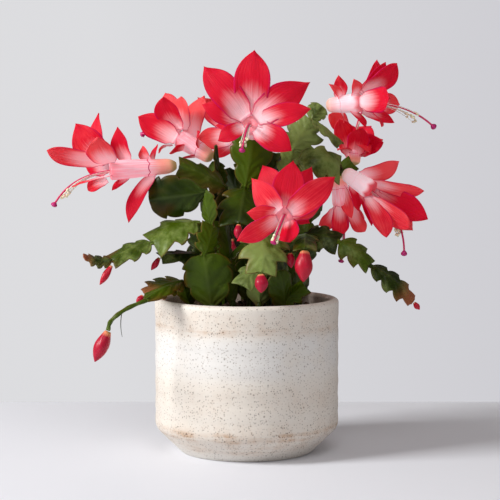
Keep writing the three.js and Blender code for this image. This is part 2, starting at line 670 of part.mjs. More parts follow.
// A ring round the style with filaments that follow it on the hollow side and end in long anthers.
function stamenSolid(bloom) {
  const curve = styleCurve(bloom);
  const start = curve.getPoint(0);
  const axis = curve.getTangent(0);
  const plane = new THREE.Vector3().crossVectors(axis, curve.getTangent(1)).normalize();
  const ring = cylinder(start, along(start, axis, 1.6), THROAT_RADIUS - 0.4, THROAT_SIDES);
  const hole = cylinder(along(start, axis, -1), along(start, axis, 3), STYLE_RADIUS + 0.7, THROAT_SIDES);
  const pieces = [ring.subtract(hole)];
  const stations = [0.02, 0.32, 0.8, 0.85, 0.98];
  const radii = [0.5, 0.45, 0.4, 0.9, 0.3];
  for (let i = 0; i < STAMEN_COUNT; i++) {
    const turn = STAMEN_FAN * (i / (STAMEN_COUNT - 1) - 0.5);
    const reach = 0.9 - 0.06 * ((i * 2) % STAMEN_COUNT);
    const path = stations.map((t) => {
      const s = t * reach;
      const out = new THREE.Vector3().crossVectors(plane, curve.getTangent(s)).normalize();
      const offset = 1.8 + 1.4 * t;
      return along(along(curve.getPoint(s), out, offset * Math.cos(turn)), plane, offset * Math.sin(turn));
    });
    pieces.push(rod(path, radii, 3));
  }
  return union(pieces);
}

// ---------------------------------------------------------------- buds

// Each bud: its base on a segment's tip, its own tip and its widest radius.
const BUDS = {
  bud_low_left: { base: [-85, -64, 85.5], tip: [-93, -66, 67], radius: 4.6 },
  bud_left_tip: { base: [-84, -48.2, 124.6], tip: [-91, -52, 113], radius: 2.3 },
  bud_left_inner: { base: [-55, -35, 128.5], tip: [-60, -38, 121], radius: 2 },
  bud_front: { base: [9, -58, 120], tip: [9, -62, 109], radius: 4.2 },
  bud_front_right: { base: [36, -50, 134], tip: [35, -54, 115], radius: 5.6 },
  bud_centre: { base: [-5, -35.8, 149.5], tip: [-6, -40, 141], radius: 2.6 },
  bud_right_inner: { base: [27, -42.9, 132.2], tip: [28, -45, 123], radius: 2.8 },
  bud_rim_left: { base: [-64.6, -50.2, 106.2], tip: [-68, -53, 101], radius: 2.2 },
  bud_right_tip: { base: [107.5, -18, 98.5], tip: [111, -19, 94], radius: 1.9 },
  bud_back: { base: [-10, 86.5, 133.5], tip: [-11, 94, 122], radius: 3.6 },
  bud_back_left: { base: [-36, 84.5, 115.5], tip: [-39, 90, 106], radius: 3 },
};

const budMaterial = new THREE.MeshStandardMaterial({ color: 0xd81b47, roughness: 0.45 });

// Along a bud: [part of the length, part of the radius].
const BUD_SECTION = [[0, 0.5], [0.22, 0.8], [0.5, 1], [0.76, 0.72], [1, 0.14]];

// Three overlapping scales wind round a bud, which raises it in soft ridges.
function budSolid({ base, tip, radius }) {
  const path = straight(vector(base), vector(tip), BUD_SECTION.map(([t]) => t));
  const ridges = (ring, turn) => 1 + 0.1 * Math.cos(3 * turn + ring);
  return rod(path, BUD_SECTION.map(([, share]) => share * radius), BUD_SIDES, ridges);
}

// ---------------------------------------------------------------- pot and soil

const potMaterial = new THREE.MeshStandardMaterial({ color: 0xe9e2d8, roughness: 0.55 });
const soilMaterial = new THREE.MeshStandardMaterial({ color: 0x33241b, roughness: 0.95 });

// The pot is bevelled at its inner bottom corner as outside, and the soil's own foot follows it.
const INNER_RADIUS = POT_RADIUS - POT_WALL;
const POT_BEVEL = POT_RADIUS - POT_FOOT_RADIUS;
const INNER_BEVEL = POT_BEVEL - 3.5;
const SOIL_RADIUS = INNER_RADIUS * Math.cos(Math.PI / POT_SIDES) - GAP;

function potSolid() {
  const foot = [[0, 0], [POT_FOOT_RADIUS - 1, 0], [POT_FOOT_RADIUS, 0.6]];
  const bevelTop = [[POT_RADIUS - 1.4, POT_BEVEL - 1], [POT_RADIUS, POT_BEVEL + 2.4]];
  const lip = [
    [POT_RADIUS, POT_HEIGHT - LIP_DEPTH], [POT_RADIUS - 1.1, POT_HEIGHT - 1], [POT_LIP_RADIUS, POT_HEIGHT],
    [POT_LIP_RADIUS - 2.2, POT_HEIGHT - 1], [INNER_RADIUS, POT_HEIGHT - LIP_DEPTH],
  ];
  const inside = [
    [INNER_RADIUS, POT_FLOOR + INNER_BEVEL], [INNER_RADIUS - INNER_BEVEL, POT_FLOOR], [0, POT_FLOOR],
  ];
  return turned([...foot, ...bevelTop, ...lip, ...inside], POT_SIDES);
}

function soilHeight(x, y) {
  const edge = Math.hypot(x, y) / INNER_RADIUS;
  const lumps = Math.sin(0.42 * x + 0.9) * Math.cos(0.37 * y) + 0.7 * Math.sin(0.31 * x - 0.45 * y);
  return SOIL_AT_WALL + SOIL_CROWN * (1 - edge * edge) + SOIL_LUMP * lumps;
}

// The potting mix fills the pot and has a plain hole round each rooted stem.
function soilSolid() {
  const points = [new THREE.Vector3(0, 0, soilHeight(0, 0))];
  const faces = [];
  const ring = (r, height) => {
    for (let k = 0; k < SOIL_SECTORS; k++) {
      const turn = (2 * Math.PI * k) / SOIL_SECTORS;
      const [x, y] = [r * Math.cos(turn), r * Math.sin(turn)];
      points.push(new THREE.Vector3(x, y, height ?? soilHeight(x, y)));
    }
  };
  for (let i = 1; i <= SOIL_RINGS; i++) ring((SOIL_RADIUS * i) / SOIL_RINGS);
  ring(SOIL_RADIUS, POT_FLOOR + GAP + INNER_BEVEL);
  ring(SOIL_RADIUS - INNER_BEVEL, POT_FLOOR + GAP);
  points.push(new THREE.Vector3(0, 0, POT_FLOOR + GAP));
  const rings = SOIL_RINGS + 2;
  for (let k = 0; k < SOIL_SECTORS; k++) {
    const next = (k + 1) % SOIL_SECTORS;
    faces.push([0, 1 + k, 1 + next]);
    for (let i = 0; i + 1 < rings; i++) {
      const [a, b] = [1 + i * SOIL_SECTORS + k, 1 + i * SOIL_SECTORS + next];
      faces.push([a, a + SOIL_SECTORS, b + SOIL_SECTORS], [a, b + SOIL_SECTORS, b]);
    }
    const last = 1 + (rings - 1) * SOIL_SECTORS;
    faces.push([points.length - 1, last + next, last + k]);
  }
  const holes = Object.values(STEMS).map(({ root: [x, y] }) => {
    const foot = new THREE.Vector3(x, y, ROOT_FOOT - GAP);
    return cylinder(foot, new THREE.Vector3(x, y, ROOT_TOP), ROOT_HOLE_RADIUS, ROOT_HOLE_SIDES);
  });
  return solidOf(points, faces).subtract(union(holes));
}

// ---------------------------------------------------------------- assembly

const plant = new THREE.Group();
plant.add(meshOf('pot', potSolid(), potMaterial));
plant.add(meshOf('soil', soilSolid(), soilMaterial));

for (const [name, stem] of Object.entries(STEMS)) {
  plant.add(meshOf(name, stemSolid(stem), stemMaterial));
}
for (const [name, bloom] of Object.entries(BLOOMS)) {
  plant.add(meshOf(name, bloomSolid(bloom), petalMaterial));
  plant.add(meshOf(`${name}_stamens`, stamenSolid(bloom), stamenMaterial));
  plant.add(meshOf(`${name}_pistil`, pistilSolid(bloom), pistilMaterial));
}
for (const [name, bud] of Object.entries(BUDS)) {
  plant.add(meshOf(name, budSolid(bud), budMaterial));
}

export default plant;
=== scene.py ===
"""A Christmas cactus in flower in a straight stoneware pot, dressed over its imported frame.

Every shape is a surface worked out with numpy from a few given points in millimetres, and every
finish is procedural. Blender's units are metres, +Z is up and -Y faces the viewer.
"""

from __future__ import annotations

import logging
import math
from dataclasses import dataclass, field
from enum import Enum
from typing import Any, Iterable

import bpy
import numpy as np
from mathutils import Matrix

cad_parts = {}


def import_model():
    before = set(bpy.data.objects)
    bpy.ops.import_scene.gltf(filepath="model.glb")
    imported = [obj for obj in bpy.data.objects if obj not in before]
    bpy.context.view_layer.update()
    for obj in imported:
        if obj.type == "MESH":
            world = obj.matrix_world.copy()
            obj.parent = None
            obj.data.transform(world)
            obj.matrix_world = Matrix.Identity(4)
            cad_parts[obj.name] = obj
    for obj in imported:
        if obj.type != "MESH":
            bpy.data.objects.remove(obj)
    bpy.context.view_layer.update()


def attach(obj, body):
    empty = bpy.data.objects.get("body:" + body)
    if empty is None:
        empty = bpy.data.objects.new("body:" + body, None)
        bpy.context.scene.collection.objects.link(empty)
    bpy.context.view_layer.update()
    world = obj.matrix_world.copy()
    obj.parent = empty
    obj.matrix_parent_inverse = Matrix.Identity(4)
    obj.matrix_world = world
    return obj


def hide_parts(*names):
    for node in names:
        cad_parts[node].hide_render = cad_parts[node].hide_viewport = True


LOG = logging.getLogger("cactus")
MM = 0.001
SEED = 1200

Point = tuple[float, float, float]
Colour = tuple[float, float, float]
Span = tuple[float, float]
Profile = tuple[tuple[float, float], ...]
Array = np.ndarray
Draw = np.random.Generator
Material = bpy.types.Material


# ---------------------------------------------------------------- what the plant is made of


class Facing(Enum):
    """The way the face of a stem segment looks."""

    FRONT = (0, -1, 0.15)
    FRONT_LEFT = (-0.7, -0.7, 0.2)
    FRONT_RIGHT = (0.7, -0.7, 0.2)
    UPWARD = (0, -0.3, 1)
    BACK = (0, 1, 0.2)
    BACK_UP = (0, 0.6, 0.8)
    BACK_LEFT = (-0.7, 0.7, 0.2)
    BACK_RIGHT = (0.7, 0.7, 0.2)
    SIDEWAYS = (1, -0.2, 0)


class Outline(Enum):
    """Half outlines of a segment: its lobe tips and notches as (part of length, part of half width)."""

    TOOTHED = ((0.1, 0.2), (0.33, 0.9), (0.38, 0.66), (0.62, 1), (0.69, 0.7), (1.03, 0.84))
    ROUNDED = ((0.08, 0.22), (0.26, 0.72), (0.52, 0.98), (0.78, 1), (0.96, 0.62))
    FLARED = ((0.1, 0.18), (0.38, 0.6), (0.43, 0.52), (0.74, 0.94), (0.79, 0.84), (1.02, 1))
    STARRED = ((0.09, 0.2), (0.38, 1), (0.42, 0.6), (0.72, 0.96), (0.75, 0.54), (1.04, 0.6))
    PLAIN = ((0.1, 0.2), (0.4, 0.94), (0.8, 0.86))
    CLAWED = (
        (0.08, 0.2), (0.3, 0.8), (0.34, 0.52), (0.54, 1), (0.6, 0.6), (0.77, 0.94), (0.82, 0.46),
        (0.97, 0.52),
    )


class Whorl(Enum):
    """Where a petal leaves the floral tube and how far it bows, as (part of the tube, usual width, bow)."""

    BASAL = (0.32, 8, 0.18)
    MIDDLE = (0.66, 10, 0.2)
    MOUTH = (0.92, 15, 0.22)


@dataclass(frozen=True)
class Segment:
    """One leaf-like stem segment.

    It has a tip, the way its face looks, its width, how far its middle bows out, its outline, and how red
    its young end is.
    """

    tip: Point
    facing: Facing | Point
    width: float
    bow: float = 0
    outline: Outline = Outline.TOOTHED
    blush: float = 0


@dataclass(frozen=True)
class Run:
    """A chain of segments from a joint of an earlier run, or from the root where start is None."""

    start: Point | None
    segments: tuple[Segment, ...]


@dataclass(frozen=True)
class Stem:
    """A leafy stem from its root up, the neck of its bud where it has one, and how much pale waxy bloom and
    painted sheen its skin has.
    """

    root: Span
    runs: tuple[Run, ...]
    neck: tuple[Point, ...] = ()
    # Pale waxy bloom and painted sheen, from 0 to 1.
    dusty: float = 0.2


@dataclass(frozen=True)
class Petal:
    """A petal: its whorl, its tip, its width, and how far its inner face is turned towards the viewer."""

    whorl: Whorl
    tip: Point
    width: float | None = None
    turn: float = 0


@dataclass(frozen=True)
class Bloom:
    """A flower: its base, its mouth, the stigma its style ends in and its petals.

    Flush is how pink its tube is, and pale how far up its petals are bleached. Its red gain sets how bright
    a red the petals reach; this is painted light, set higher on several flowers that lie in shade and lower
    on the top and front ones that the light falls on. Its anthers stop at a part of the style, and droop is
    how far they hang from it. Inset is how far inside the mouth's rim its petals are rooted.
    """

    base: Point
    mouth: Point
    stigma: Point
    petals: tuple[Petal, ...]
    flush: float = 0.5
    pale: float = 0.5
    anther_reach: float = 0.84
    droop: float = 1.3
    inset: float = 0.3
    painted_light_gain: float = 1


@dataclass(frozen=True)
class Bud:
    """A bud: its base on a segment's tip, its own tip and its widest radius."""

    base: Point
    tip: Point
    radius: float


STEMS: dict[str, Stem] = {
    "stem_left_arch": Stem(
        root=(-18, -10),
        runs=(
            Run(None, (
                Segment((-26, -17, 127), Facing.FRONT_LEFT, 20, 0, Outline.PLAIN),
                Segment((-31, -25, 150), (-0.3, -0.8, 0.4), 20, 2),
                Segment((-59, -38, 138), (-0.2, -0.6, 0.8), 28, 4),
                Segment((-84, -46, 128), (-0.2, -0.6, 0.8), 19, 2),
                Segment((-101, -52, 131), (-0.1, -0.6, 0.8), 14, -2, Outline.CLAWED, 0.8),
            )),
            Run((-26, -17, 127), (Segment((-54, -34, 129), (0, -0.6, 0.8), 14, 2),)),
        ),
        dusty=0.42,
    ),
    "stem_low_left": Stem(
        root=(-36, -14),
        runs=(
            Run(None, (
                Segment((-41, -23, 112), (-0.3, -0.9, 0.4), 14, 0, Outline.PLAIN),
                Segment((-63, -48, 107), (-0.3, -0.9, 0.4), 20, 2, Outline.CLAWED, 0.7),
            )),
            Run((-41, -23, 112), (Segment((-62, -56, 104), (0.2, -0.3, 1), 14, 2, Outline.PLAIN),)),
        ),
        neck=((-60, -54, 104.5), (-74, -61, 99), (-83, -63, 92), (-85, -64, 86)),
        dusty=0.1,
    ),
    "stem_front_left": Stem(
        root=(-22, -32),
        runs=(
            Run(None, (
                Segment((-27, -37, 131), (-0.1, -1, 0.1), 32, 1, Outline.ROUNDED),
                Segment((-22, -32, 149), (0.6, -0.7, 0.1), 19, 1),
                Segment((-26, -31, 171), (-0.7, -0.7, 0.1), 17, 1, Outline.PLAIN),
            )),
            Run((-26, -31, 170), (Segment((-62, -25, 165), (0, -1, -0.15), 28, 2, Outline.ROUNDED),)),
        ),
        dusty=0.0,
    ),
    "stem_left_bloom": Stem(
        root=(-9, -20),
        runs=(
            Run(None, (
                Segment((-12, -19, 126), Facing.FRONT_RIGHT, 19, 0, Outline.PLAIN),
                Segment((-16, -12, 150), (0.8, -0.6, 0), 17, 1),
                Segment((-14, -8, 172), (0.7, -0.7, 0), 16, 1, Outline.PLAIN),
                Segment((-43, -19, 186), (0, -0.8, 0.6), 20, 2),
            )),
            Run((-12, -19, 126), (Segment((2, -36, 140), (0, -0.6, 0.8), 16, 1),)),
        ),
        dusty=0.15,
    ),
    "stem_top_bloom": Stem(
        root=(2, -8),
        runs=(
            Run(None, (
                Segment((1, -10, 128), Facing.FRONT, 20, 0, Outline.PLAIN),
                Segment((3, -12, 152), Facing.FRONT_RIGHT, 18, 1, Outline.PLAIN),
                Segment((-1, -13, 172), Facing.FRONT, 17, 1, Outline.PLAIN),
                Segment((4, -10, 206), (0, -1, 0.1), 30, 1, Outline.FLARED),
            )),
            Run((-1, -13, 172), (Segment((-5, -35, 150), (0, -0.8, 0.6), 30, 2),)),
        ),
        dusty=0.0,
    ),
    "stem_upper_left_bloom": Stem(
        root=(-15, 5),
        runs=(
            Run(None, (
                Segment((-17, 6, 127), Facing.FRONT_LEFT, 20, 0, Outline.PLAIN),
                Segment((-20, 8, 149), Facing.FRONT, 19, 1, Outline.PLAIN),
                Segment((-17, 6, 170), Facing.FRONT_RIGHT, 17, 1, Outline.PLAIN),
                Segment((-21, 4, 189), (-0.5, -0.8, 0.2), 15, 1, Outline.PLAIN),
            )),
            Run((-17, 6, 170), (Segment((-20, -6, 199), Facing.SIDEWAYS, 12, 0, Outline.PLAIN),)),
        ),
        dusty=0.2,
    ),
    "stem_upper_right_bloom": Stem(
        root=(14, 6),
        runs=(
            Run(None, (
                Segment((17, 7, 127), Facing.FRONT_RIGHT, 20, 0, Outline.PLAIN),
                Segment((21, 7, 151), Facing.FRONT, 20, 1, Outline.PLAIN),
                Segment((26, 6, 174), Facing.FRONT_RIGHT, 19, 1),
                Segment((30, 4, 196), Facing.FRONT, 18, 1),
                Segment((42, 4, 216), (0, -1, 0.3), 28, 1, Outline.STARRED),
                Segment((49, 5, 225), (0, -1, 0.2), 14, 1, Outline.ROUNDED),
            )),
            Run((42, 4, 216), (Segment((61, 0, 200), (0.7, -0.4, 0.8), 16, 1),)),
        ),
        dusty=0.7,
    ),
    "stem_right_bloom": Stem(
        root=(20, -12),
        runs=(
            Run(None, (
                Segment((23, -13, 126), Facing.FRONT_RIGHT, 19, 0, Outline.PLAIN),
                Segment((26, -13, 149), Facing.FRONT, 19, 1, Outline.PLAIN),
                Segment((28, -12, 171), Facing.FRONT_LEFT, 17, 1, Outline.PLAIN),
                Segment((31, -12, 188), Facing.FRONT, 15, 1, Outline.PLAIN),
                Segment((60, -8, 184), (0, -0.9, 0.5), 24, 8),
            )),
            Run((26, -13, 149), (Segment((27, -29, 161), Facing.UPWARD, 15, 1, Outline.PLAIN),)),
            Run((23, -13, 126), (Segment((27, -41, 133), Facing.UPWARD, 15, 3),)),
        ),
        dusty=0.6,
    ),
    "stem_right_trailing": Stem(
        root=(34, -2),
        runs=(
            Run(None, (
                Segment((38, -4, 122), Facing.FRONT_RIGHT, 17, 0, Outline.PLAIN),
                Segment((38, -8, 141), Facing.FRONT, 17, 1, Outline.PLAIN),
                Segment((59, -14, 137), (0.1, -0.8, 0.6), 22, 3),
                Segment((79, -16, 122), (0.3, -0.8, 0.5), 20, 3, Outline.STARRED),
                Segment((107, -18, 99), (0.3, -0.7, 0.6), 19, 3, Outline.CLAWED, 0.8),
            )),
            Run((38, -8, 141), (Segment((36, -48, 135), Facing.UPWARD, 18, 3),)),
        ),
        dusty=0.35,
    ),
    "stem_front_bud": Stem(
        root=(8, -28),
        runs=(
            Run(None, (
                Segment((9, -30, 124), Facing.FRONT, 20, 0, Outline.PLAIN),
                Segment((13, -38, 144), Facing.FRONT, 16, 1, Outline.PLAIN),
                Segment((9, -57, 121), (0, -0.9, 0.5), 32, 4, Outline.STARRED),
            )),
            Run((9, -30, 124), (Segment((-3, -44, 112), (-0.3, -0.9, 0.3), 18, 2),)),
        ),
        dusty=0.75,
    ),
    "stem_short_right": Stem(
        root=(23, -27),
        runs=(
            Run(None, (Segment((20, -36, 120), (0.6, -0.8, 0), 20, 2, Outline.ROUNDED),)),
            Run((23, -27, 99), (Segment((37, -26, 110), (-0.2, -0.8, 0.5), 14, 1),)),
        ),
        dusty=0.05,
    ),
    "stem_right_behind": Stem(
        root=(30, 16),
        runs=(
            Run(None, (
                Segment((34, 20, 126), Facing.FRONT_RIGHT, 20, 0, Outline.PLAIN),
                Segment((42, 26, 148), Facing.FRONT, 19, 1, Outline.PLAIN),
                Segment((48, 29, 169), Facing.FRONT_RIGHT, 17, 1, Outline.PLAIN),
                Segment((70, 25, 188), (-0.2, -0.8, 0.6), 15, 1),
            )),
            Run((48, 29, 169), (
                Segment((54, 24, 187), Facing.FRONT_LEFT, 13, 0, Outline.PLAIN),
                Segment((60, 9, 181), Facing.UPWARD, 12, 3, Outline.PLAIN),
            )),
        ),
    ),
    "stem_back_left": Stem(
        root=(-24, 18),
        runs=(
            Run(None, (
                Segment((-28, 26, 126), Facing.BACK_LEFT, 21, 0, Outline.PLAIN),
                Segment((-26, 42, 144), (-0.6, 0.4, 0.6), 20, 2, Outline.PLAIN),
                Segment((-31, 66, 138), (-0.2, 0.4, 0.9), 21, 4),
                Segment((-36, 84, 116), (-0.4, 0.5, 0.7), 18, 3),
            )),
            Run((-28, 26, 126), (Segment((-38, 52, 118), (-0.2, 0.6, 0.8), 18, 3, Outline.STARRED),)),
        ),
    ),
    "stem_back": Stem(
        root=(-2, 28),
        runs=(
            Run(None, (
                Segment((-3, 36, 127), Facing.BACK, 21, 0, Outline.PLAIN),
                Segment((-4, 46, 149), Facing.BACK_LEFT, 20, 2),
                Segment((-8, 68, 152), Facing.BACK_UP, 21, 3),
                Segment((-10, 86, 134), Facing.BACK_UP, 18, 3),
            )),
            Run((-3, 36, 127), (Segment((6, 64, 126), Facing.BACK_UP, 20, 3, Outline.STARRED),)),
        ),
    ),
    "stem_back_right": Stem(
        root=(18, 32),
        runs=(
            Run(None, (
                Segment((22, 40, 126), Facing.BACK_RIGHT, 20, 0, Outline.PLAIN),
                Segment((27, 50, 146), Facing.BACK, 19, 2),
                Segment((34, 72, 140), Facing.BACK_UP, 21, 4),
                Segment((38, 88, 120), (0.5, 0.6, 0.6), 17, 3),
            )),
        ),
    ),
    "stem_centre_behind": Stem(
        root=(2, 14),
        runs=(
            Run(None, (
                Segment((1, 18, 130), Facing.BACK, 20, 0, Outline.PLAIN),
                Segment((0, 21, 156), Facing.BACK_LEFT, 20, 1, Outline.PLAIN),
                Segment((-1, 26, 180), Facing.BACK, 18, 1, Outline.PLAIN),
                Segment((-2, 36, 196), Facing.BACK_UP, 17, 2),
            )),
            Run((0, 21, 156), (
                Segment((12, 16, 174), Facing.FRONT, 19, 1, Outline.PLAIN),
                Segment((21, 6, 194), Facing.FRONT_RIGHT, 20, 1),
            )),
            Run((0, 21, 156), (Segment((-13, 16, 184), Facing.FRONT_LEFT, 18, 1, Outline.PLAIN),)),
        ),
    ),
}

BLOOMS: dict[str, Bloom] = {
    "bloom_left": Bloom(
        base=(-45, -19.4, 186.4), mouth=(-90, -30, 183), stigma=(-121, -40, 161),
        petals=(
            Petal(Whorl.MOUTH, (-125, -38, 196), 12, 0.5), Petal(Whorl.MOUTH, (-108, -28, 213), 21, 0.8),
            Petal(Whorl.MOUTH, (-92, -50, 204), 18, 0.9), Petal(Whorl.MOUTH, (-95, -12, 220), 14, 0.6),
            Petal(Whorl.MOUTH, (-108, -50, 174), 10, 0.3), Petal(Whorl.MOUTH, (-100, -34, 171), 9, 0.3),
            Petal(Whorl.MOUTH, (-106, 0, 190), 15), Petal(Whorl.MIDDLE, (-82, -24, 211), 13, 0.6),
            Petal(Whorl.MIDDLE, (-85, -32, 171), 6, 0.4), Petal(Whorl.MIDDLE, (-80, 0, 194)),
            Petal(Whorl.BASAL, (-66, -24, 199), 9, 0.5), Petal(Whorl.BASAL, (-74, -40, 151), 11, 0.6),
            Petal(Whorl.BASAL, (-57, -16, 200), 7, 0.4), Petal(Whorl.BASAL, (-73, 0, 183)),
        ),
        flush=0.85, pale=0.48, droop=3,
    ),
    "bloom_upper_left": Bloom(
        base=(-22.4, 4.3, 190.8), mouth=(-46, 9, 205), stigma=(-70, 26, 206),
        petals=(
            Petal(Whorl.MOUTH, (-71, 6, 218), 17, 0.6), Petal(Whorl.MOUTH, (-54, -6, 230), 18, 0.6),
            Petal(Whorl.MOUTH, (-54, 22, 234), 17, 0.6), Petal(Whorl.MOUTH, (-43, 4, 231), 18, 0.6),
            Petal(Whorl.MOUTH, (-62, 40, 216), 14), Petal(Whorl.MOUTH, (-58, 10, 194), 10),
            Petal(Whorl.MIDDLE, (-28, 16, 232), 15, 0.7), Petal(Whorl.MIDDLE, (-36, 36, 220), 12),
            Petal(Whorl.MIDDLE, (-50, -6, 194), 8), Petal(Whorl.BASAL, (-44, 4, 190), 7),
            Petal(Whorl.BASAL, (-30, -9, 208), 10, 0.4),
        ),
        flush=0.75, pale=0.42, painted_light_gain=1.4,
    ),
    "bloom_top": Bloom(
        base=(4, -11.4, 206.4), mouth=(2, -40, 213), stigma=(-3, -64, 195),
        petals=(
            Petal(Whorl.MOUTH, (5, -32, 259), 23), Petal(Whorl.MOUTH, (-27, -28, 249), 20),
            Petal(Whorl.MOUTH, (40, -30, 239), 21), Petal(Whorl.MOUTH, (-28, -38, 225), 16),
            Petal(Whorl.MOUTH, (40, -42, 222), 15), Petal(Whorl.MOUTH, (28, -48, 196), 17),
            Petal(Whorl.MOUTH, (-18, -42, 202), 11), Petal(Whorl.MIDDLE, (23, -26, 209), 9),
            Petal(Whorl.MIDDLE, (-8, -14, 236), 12), Petal(Whorl.MIDDLE, (26, -8, 226), 11),
            Petal(Whorl.MIDDLE, (-20, -18, 212), 10), Petal(Whorl.BASAL, (4, -3, 224), 8),
        ),
        flush=0.6, pale=0.48, anther_reach=0.88, inset=2.4, painted_light_gain=0.5,
    ),
    "bloom_upper_right": Bloom(
        base=(52, 5, 225), mouth=(76, 0, 227), stigma=(121, -12, 210),
        petals=(
            Petal(Whorl.MOUTH, (85, 8, 255), 11, 0.7), Petal(Whorl.MOUTH, (97, -4, 252), 14, 0.7),
            Petal(Whorl.MOUTH, (90, -32, 229), 17, 0.4), Petal(Whorl.MOUTH, (101, 18, 226), 14, 0.4),
            Petal(Whorl.MOUTH, (86, -20, 211), 10, 0.3), Petal(Whorl.MOUTH, (96, 2, 214), 9, 0.4),
            Petal(Whorl.MOUTH, (91, 32, 238), 13), Petal(Whorl.MOUTH, (90, 0, 253), 10, 0.8),
            Petal(Whorl.MIDDLE, (69, -6, 242), 9, 0.5),
            Petal(Whorl.MIDDLE, (77, -6, 211), 9, 0.4), Petal(Whorl.MIDDLE, (72, 26, 238), 10),
            Petal(Whorl.BASAL, (53, -2, 239), 7, 0.4), Petal(Whorl.BASAL, (60, 8, 245), 10, 0.7),
            Petal(Whorl.BASAL, (64, 18, 214), 7),
        ),
        flush=0.32, pale=0.46, anther_reach=0.72, droop=6,
    ),
    "bloom_right_behind": Bloom(
        base=(71, 31, 186), mouth=(72, 34, 204), stigma=(84, 42, 230),
        petals=(
            Petal(Whorl.MOUTH, (55, 26, 220), 15, 0.6), Petal(Whorl.MOUTH, (66, 52, 215), 14, 0.4),
            Petal(Whorl.MOUTH, (71, 20, 212), 14, 0.5), Petal(Whorl.MOUTH, (85, 24, 204), 12, 0.6),
            Petal(Whorl.MOUTH, (92, 40, 203), 13, 0.4), Petal(Whorl.MOUTH, (82, 58, 212), 13),
            Petal(Whorl.MIDDLE, (54, 36, 206), 10, 0.3), Petal(Whorl.MIDDLE, (82, 18, 194), 10, 0.4),
            Petal(Whorl.BASAL, (60, 19, 196), 8), Petal(Whorl.BASAL, (81, 32, 194), 8),
            Petal(Whorl.BASAL, (90, 19, 201), 14, 0.9), Petal(Whorl.BASAL, (76, 15, 210), 15, 0.9),
            Petal(Whorl.BASAL, (61, 19, 216), 14, 0.8),
        ),
        flush=0.9, pale=0.36, painted_light_gain=1.3,
    ),
    "bloom_right": Bloom(
        base=(62.5, -9, 182), mouth=(82, -16, 169), stigma=(100, -26, 129),
        petals=(
            Petal(Whorl.MOUTH, (116, -18, 152), 17, 0.5), Petal(Whorl.MOUTH, (108, -4, 144), 16, 0.5),
            Petal(Whorl.MOUTH, (88, -38, 142), 14, 0.6), Petal(Whorl.MOUTH, (112, -4, 170), 12, 0.5),
            Petal(Whorl.MOUTH, (100, 12, 156), 12), Petal(Whorl.MOUTH, (103, -30, 147), 12, 0.7),
            Petal(Whorl.MIDDLE, (114, -14, 170), 9, 0.6), Petal(Whorl.MIDDLE, (80, -20, 148), 8, 0.4),
            Petal(Whorl.MIDDLE, (94, 12, 168), 9), Petal(Whorl.BASAL, (98, -12, 189), 12, 0.7),
            Petal(Whorl.BASAL, (72, -12, 157), 8, 0.4), Petal(Whorl.BASAL, (80, 12, 178), 8),
        ),
        flush=0.1, pale=0.3, anther_reach=0.74, droop=3, painted_light_gain=1.3,
    ),
    "bloom_front": Bloom(
        base=(27, -30.5, 161), mouth=(23, -57, 156), stigma=(16, -77, 140),
        petals=(
            Petal(Whorl.MOUTH, (3, -46, 179), 17), Petal(Whorl.MIDDLE, (10, -38, 187), 19),
            Petal(Whorl.MOUTH, (29, -44, 190), 20), Petal(Whorl.MOUTH, (55, -48, 180), 17),
            Petal(Whorl.MOUTH, (0, -56, 158), 12), Petal(Whorl.MOUTH, (-6, -64, 141), 13),
            Petal(Whorl.MOUTH, (26, -72, 141), 15), Petal(Whorl.MOUTH, (47, -54, 164), 13),
            Petal(Whorl.MIDDLE, (41, -33, 186), 14),
            Petal(Whorl.MIDDLE, (20, -17, 182), 10), Petal(Whorl.MIDDLE, (50, -21, 168), 9),
            Petal(Whorl.MIDDLE, (8, -38, 153), 9), Petal(Whorl.BASAL, (40, -30, 150), 8),
        ),
        flush=0.6, pale=0.32, anther_reach=0.92, inset=2.4, painted_light_gain=0.7,
    ),
    "bloom_right_low": Bloom(
        base=(60, 8, 179), mouth=(63, 7, 158), stigma=(62, 11, 122),
        petals=(
            Petal(Whorl.MOUTH, (77, 0, 143), 11, 0.5), Petal(Whorl.MOUTH, (60, -6, 141), 13, 0.4),
            Petal(Whorl.MOUTH, (47, 0, 147), 14, 0.5), Petal(Whorl.MOUTH, (62, 30, 138), 12),
            Petal(Whorl.MOUTH, (50, 20, 146), 11), Petal(Whorl.MIDDLE, (78, 18, 150), 9),
            Petal(Whorl.BASAL, (68, -5, 152), 9, 0.4), Petal(Whorl.BASAL, (74, 10, 155), 8, 0.4),
        ),
        flush=0.8, pale=0.4,
    ),
    "bloom_back": Bloom(
        base=(-2, 38, 197.5), mouth=(-4, 68, 206), stigma=(-5, 98, 194),
        petals=(
            Petal(Whorl.MOUTH, (-4, 60, 246), 20), Petal(Whorl.MOUTH, (-34, 58, 232), 18),
            Petal(Whorl.MOUTH, (26, 58, 234), 18), Petal(Whorl.MOUTH, (-36, 72, 202), 16),
            Petal(Whorl.MOUTH, (28, 74, 202), 16), Petal(Whorl.MOUTH, (-24, 82, 190), 12),
            Petal(Whorl.MIDDLE, (14, 44, 232), 12), Petal(Whorl.MIDDLE, (-22, 44, 228), 12),
            Petal(Whorl.MIDDLE, (16, 62, 182), 10), Petal(Whorl.BASAL, (14, 36, 212), 8),
        ),
    ),
}

